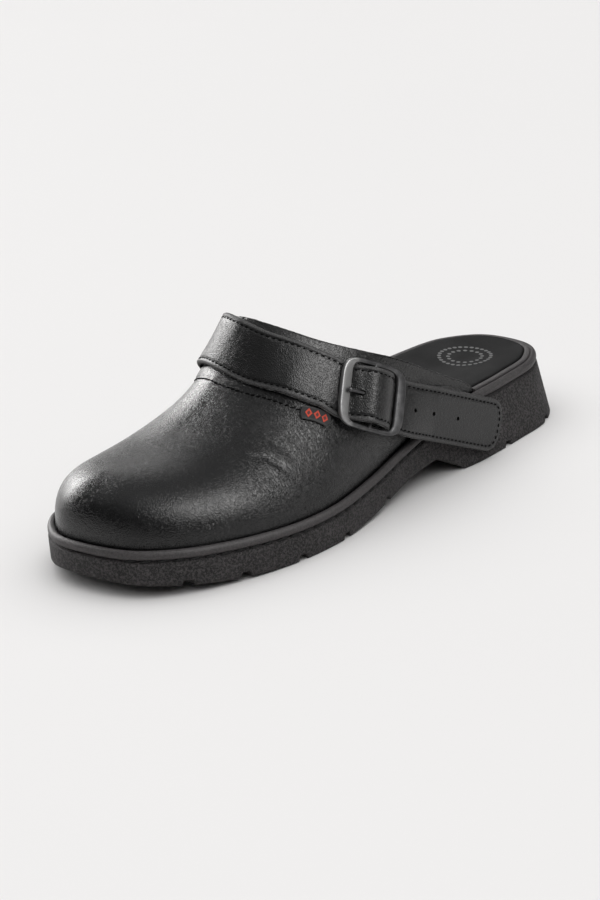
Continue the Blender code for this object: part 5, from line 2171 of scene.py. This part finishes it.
@dataclass(frozen=True)
class Studio:
    """Pale floor, soft lamps and a dim room."""

    floor_radius: float = 12.0
    # Brightness of the room: height from straight down (0) to straight up (1), level.
    room: tuple[Pair, ...] = ((0.0, 0.02), (0.5, 0.025), (0.75, 0.1), (0.93, 0.45), (1.0, 0.6))
    wash: float = 2.5
    wash_angle: float = 118.0
    lamps: tuple[SoftBox, ...] = (
        SoftBox("lamp_left", (-1.67, 0.0, 0.62), (1.3, 0.8), 33.0),
        SoftBox("lamp_right", (1.29, 0.3, 1.2), (1.2, 1.1), 27.5),
        SoftBox("lamp_back", (-1.3, 1.15, 0.68), (1.0, 0.7), 3.0),
    )

    def _floor(self) -> None:
        """Lay the floor."""
        mesh = bmesh.new()
        bmesh.ops.create_circle(mesh, cap_ends=True, segments=96, radius=self.floor_radius)
        floor = solid("floor", mesh, np.zeros(3))
        floor.data.materials.append(Backdrop().make())

    def _room(self) -> None:
        """Light the room: bright overhead, dim around."""
        world = bpy.data.worlds.new("room")
        bpy.context.scene.world = world
        world.use_nodes = True
        tree = world.node_tree
        way = tree.nodes.new("ShaderNodeTexCoord")
        parts = tree.nodes.new("ShaderNodeSeparateXYZ")
        ramp = tree.nodes.new("ShaderNodeValToRGB")
        half = tree.nodes.new("ShaderNodeMath")
        half.operation = "MULTIPLY_ADD"
        half.inputs[1].default_value = half.inputs[2].default_value = 0.5
        stops = ramp.color_ramp.elements
        while len(stops) < len(self.room):
            stops.new(0.5)
        for stop, (place, level) in zip(stops, self.room):
            stop.position, stop.color = place, (level, level, level, 1.0)
        tree.links.new(way.outputs["Generated"], parts.inputs[0])
        tree.links.new(parts.outputs["Z"], half.inputs[0])
        tree.links.new(half.outputs[0], ramp.inputs[0])
        tree.links.new(ramp.outputs[0], tree.nodes["Background"].inputs["Color"])

    def set_up(self) -> None:
        """Put floor, lamps and room in the scene."""
        self._floor()
        self._room()
        for lamp in self.lamps:
            lamp.hang()
        sky = bpy.data.lights.new("overhead_wash", "SUN")
        sky.energy, sky.angle = self.wash, math.radians(self.wash_angle)
        linked("overhead_wash", sky).visible_glossy = False
        bpy.context.scene.view_settings.view_transform = "Standard"


def main() -> None:
    """Build and dress the clog, then the studio."""
    logging.basicConfig(level=logging.INFO, format="%(name)s %(message)s")
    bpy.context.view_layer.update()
    maker, last = Maker(), Last()
    leather = Leather("black_leather_skin", folds=0.09 * MM).make()
    dull = Leather(
        "strap_leather_skin", colour=(0.0032, 0.0032, 0.0034), worn=(0.006, 0.006, 0.0064), roughness=0.31,
        rim=True,
    )
    edge = CutEdge().make()
    straps = [dull.make(), edge, Lining("napped_back").make()]
    lining = Lining("upper_lining", (0.005, 0.005, 0.0052), 0.5 * MM).make()
    rubber, metal, thread = Rubber().make(), DarkMetal().make(), Thread("black_thread").make()

    sole = Sole(last, maker)
    sole.build(rubber)
    # Welt stitches in rubber painted nearly black: painted shade between them in the groove.
    sole.build_welt_stitches(Rubber("painted_shade_rubber", (0.001, 0.001, 0.001), (0.012, 0.011, 0.011)).make())
    Insole(last, maker).build(InsoleCover().make())
    upper = Upper(last, maker)
    upper.build([leather, edge, lining])
    upper.build_seam(thread)
    buckle = Buckle(last, maker)
    buckle.build_strap(straps, thread)
    buckle.build_frame(metal)
    buckle.build_tongue(metal)
    buckle.build_chape(straps)
    layers = buckle.clear + 2 * buckle.chape_thick + GAP
    buckle.build_rivet("rivet_outer", "rivet_lateral", Side.OUTER, layers, metal)
    buckle.build_rivet("rivet_inner", "rivet_medial", Side.INNER, buckle.clear + buckle.strap_thick, metal)
    Tag(last, maker).build(TagCloth().make())

    Studio().set_up()
    Viewpoint().set_up()


if __name__ == "__main__":
    main()
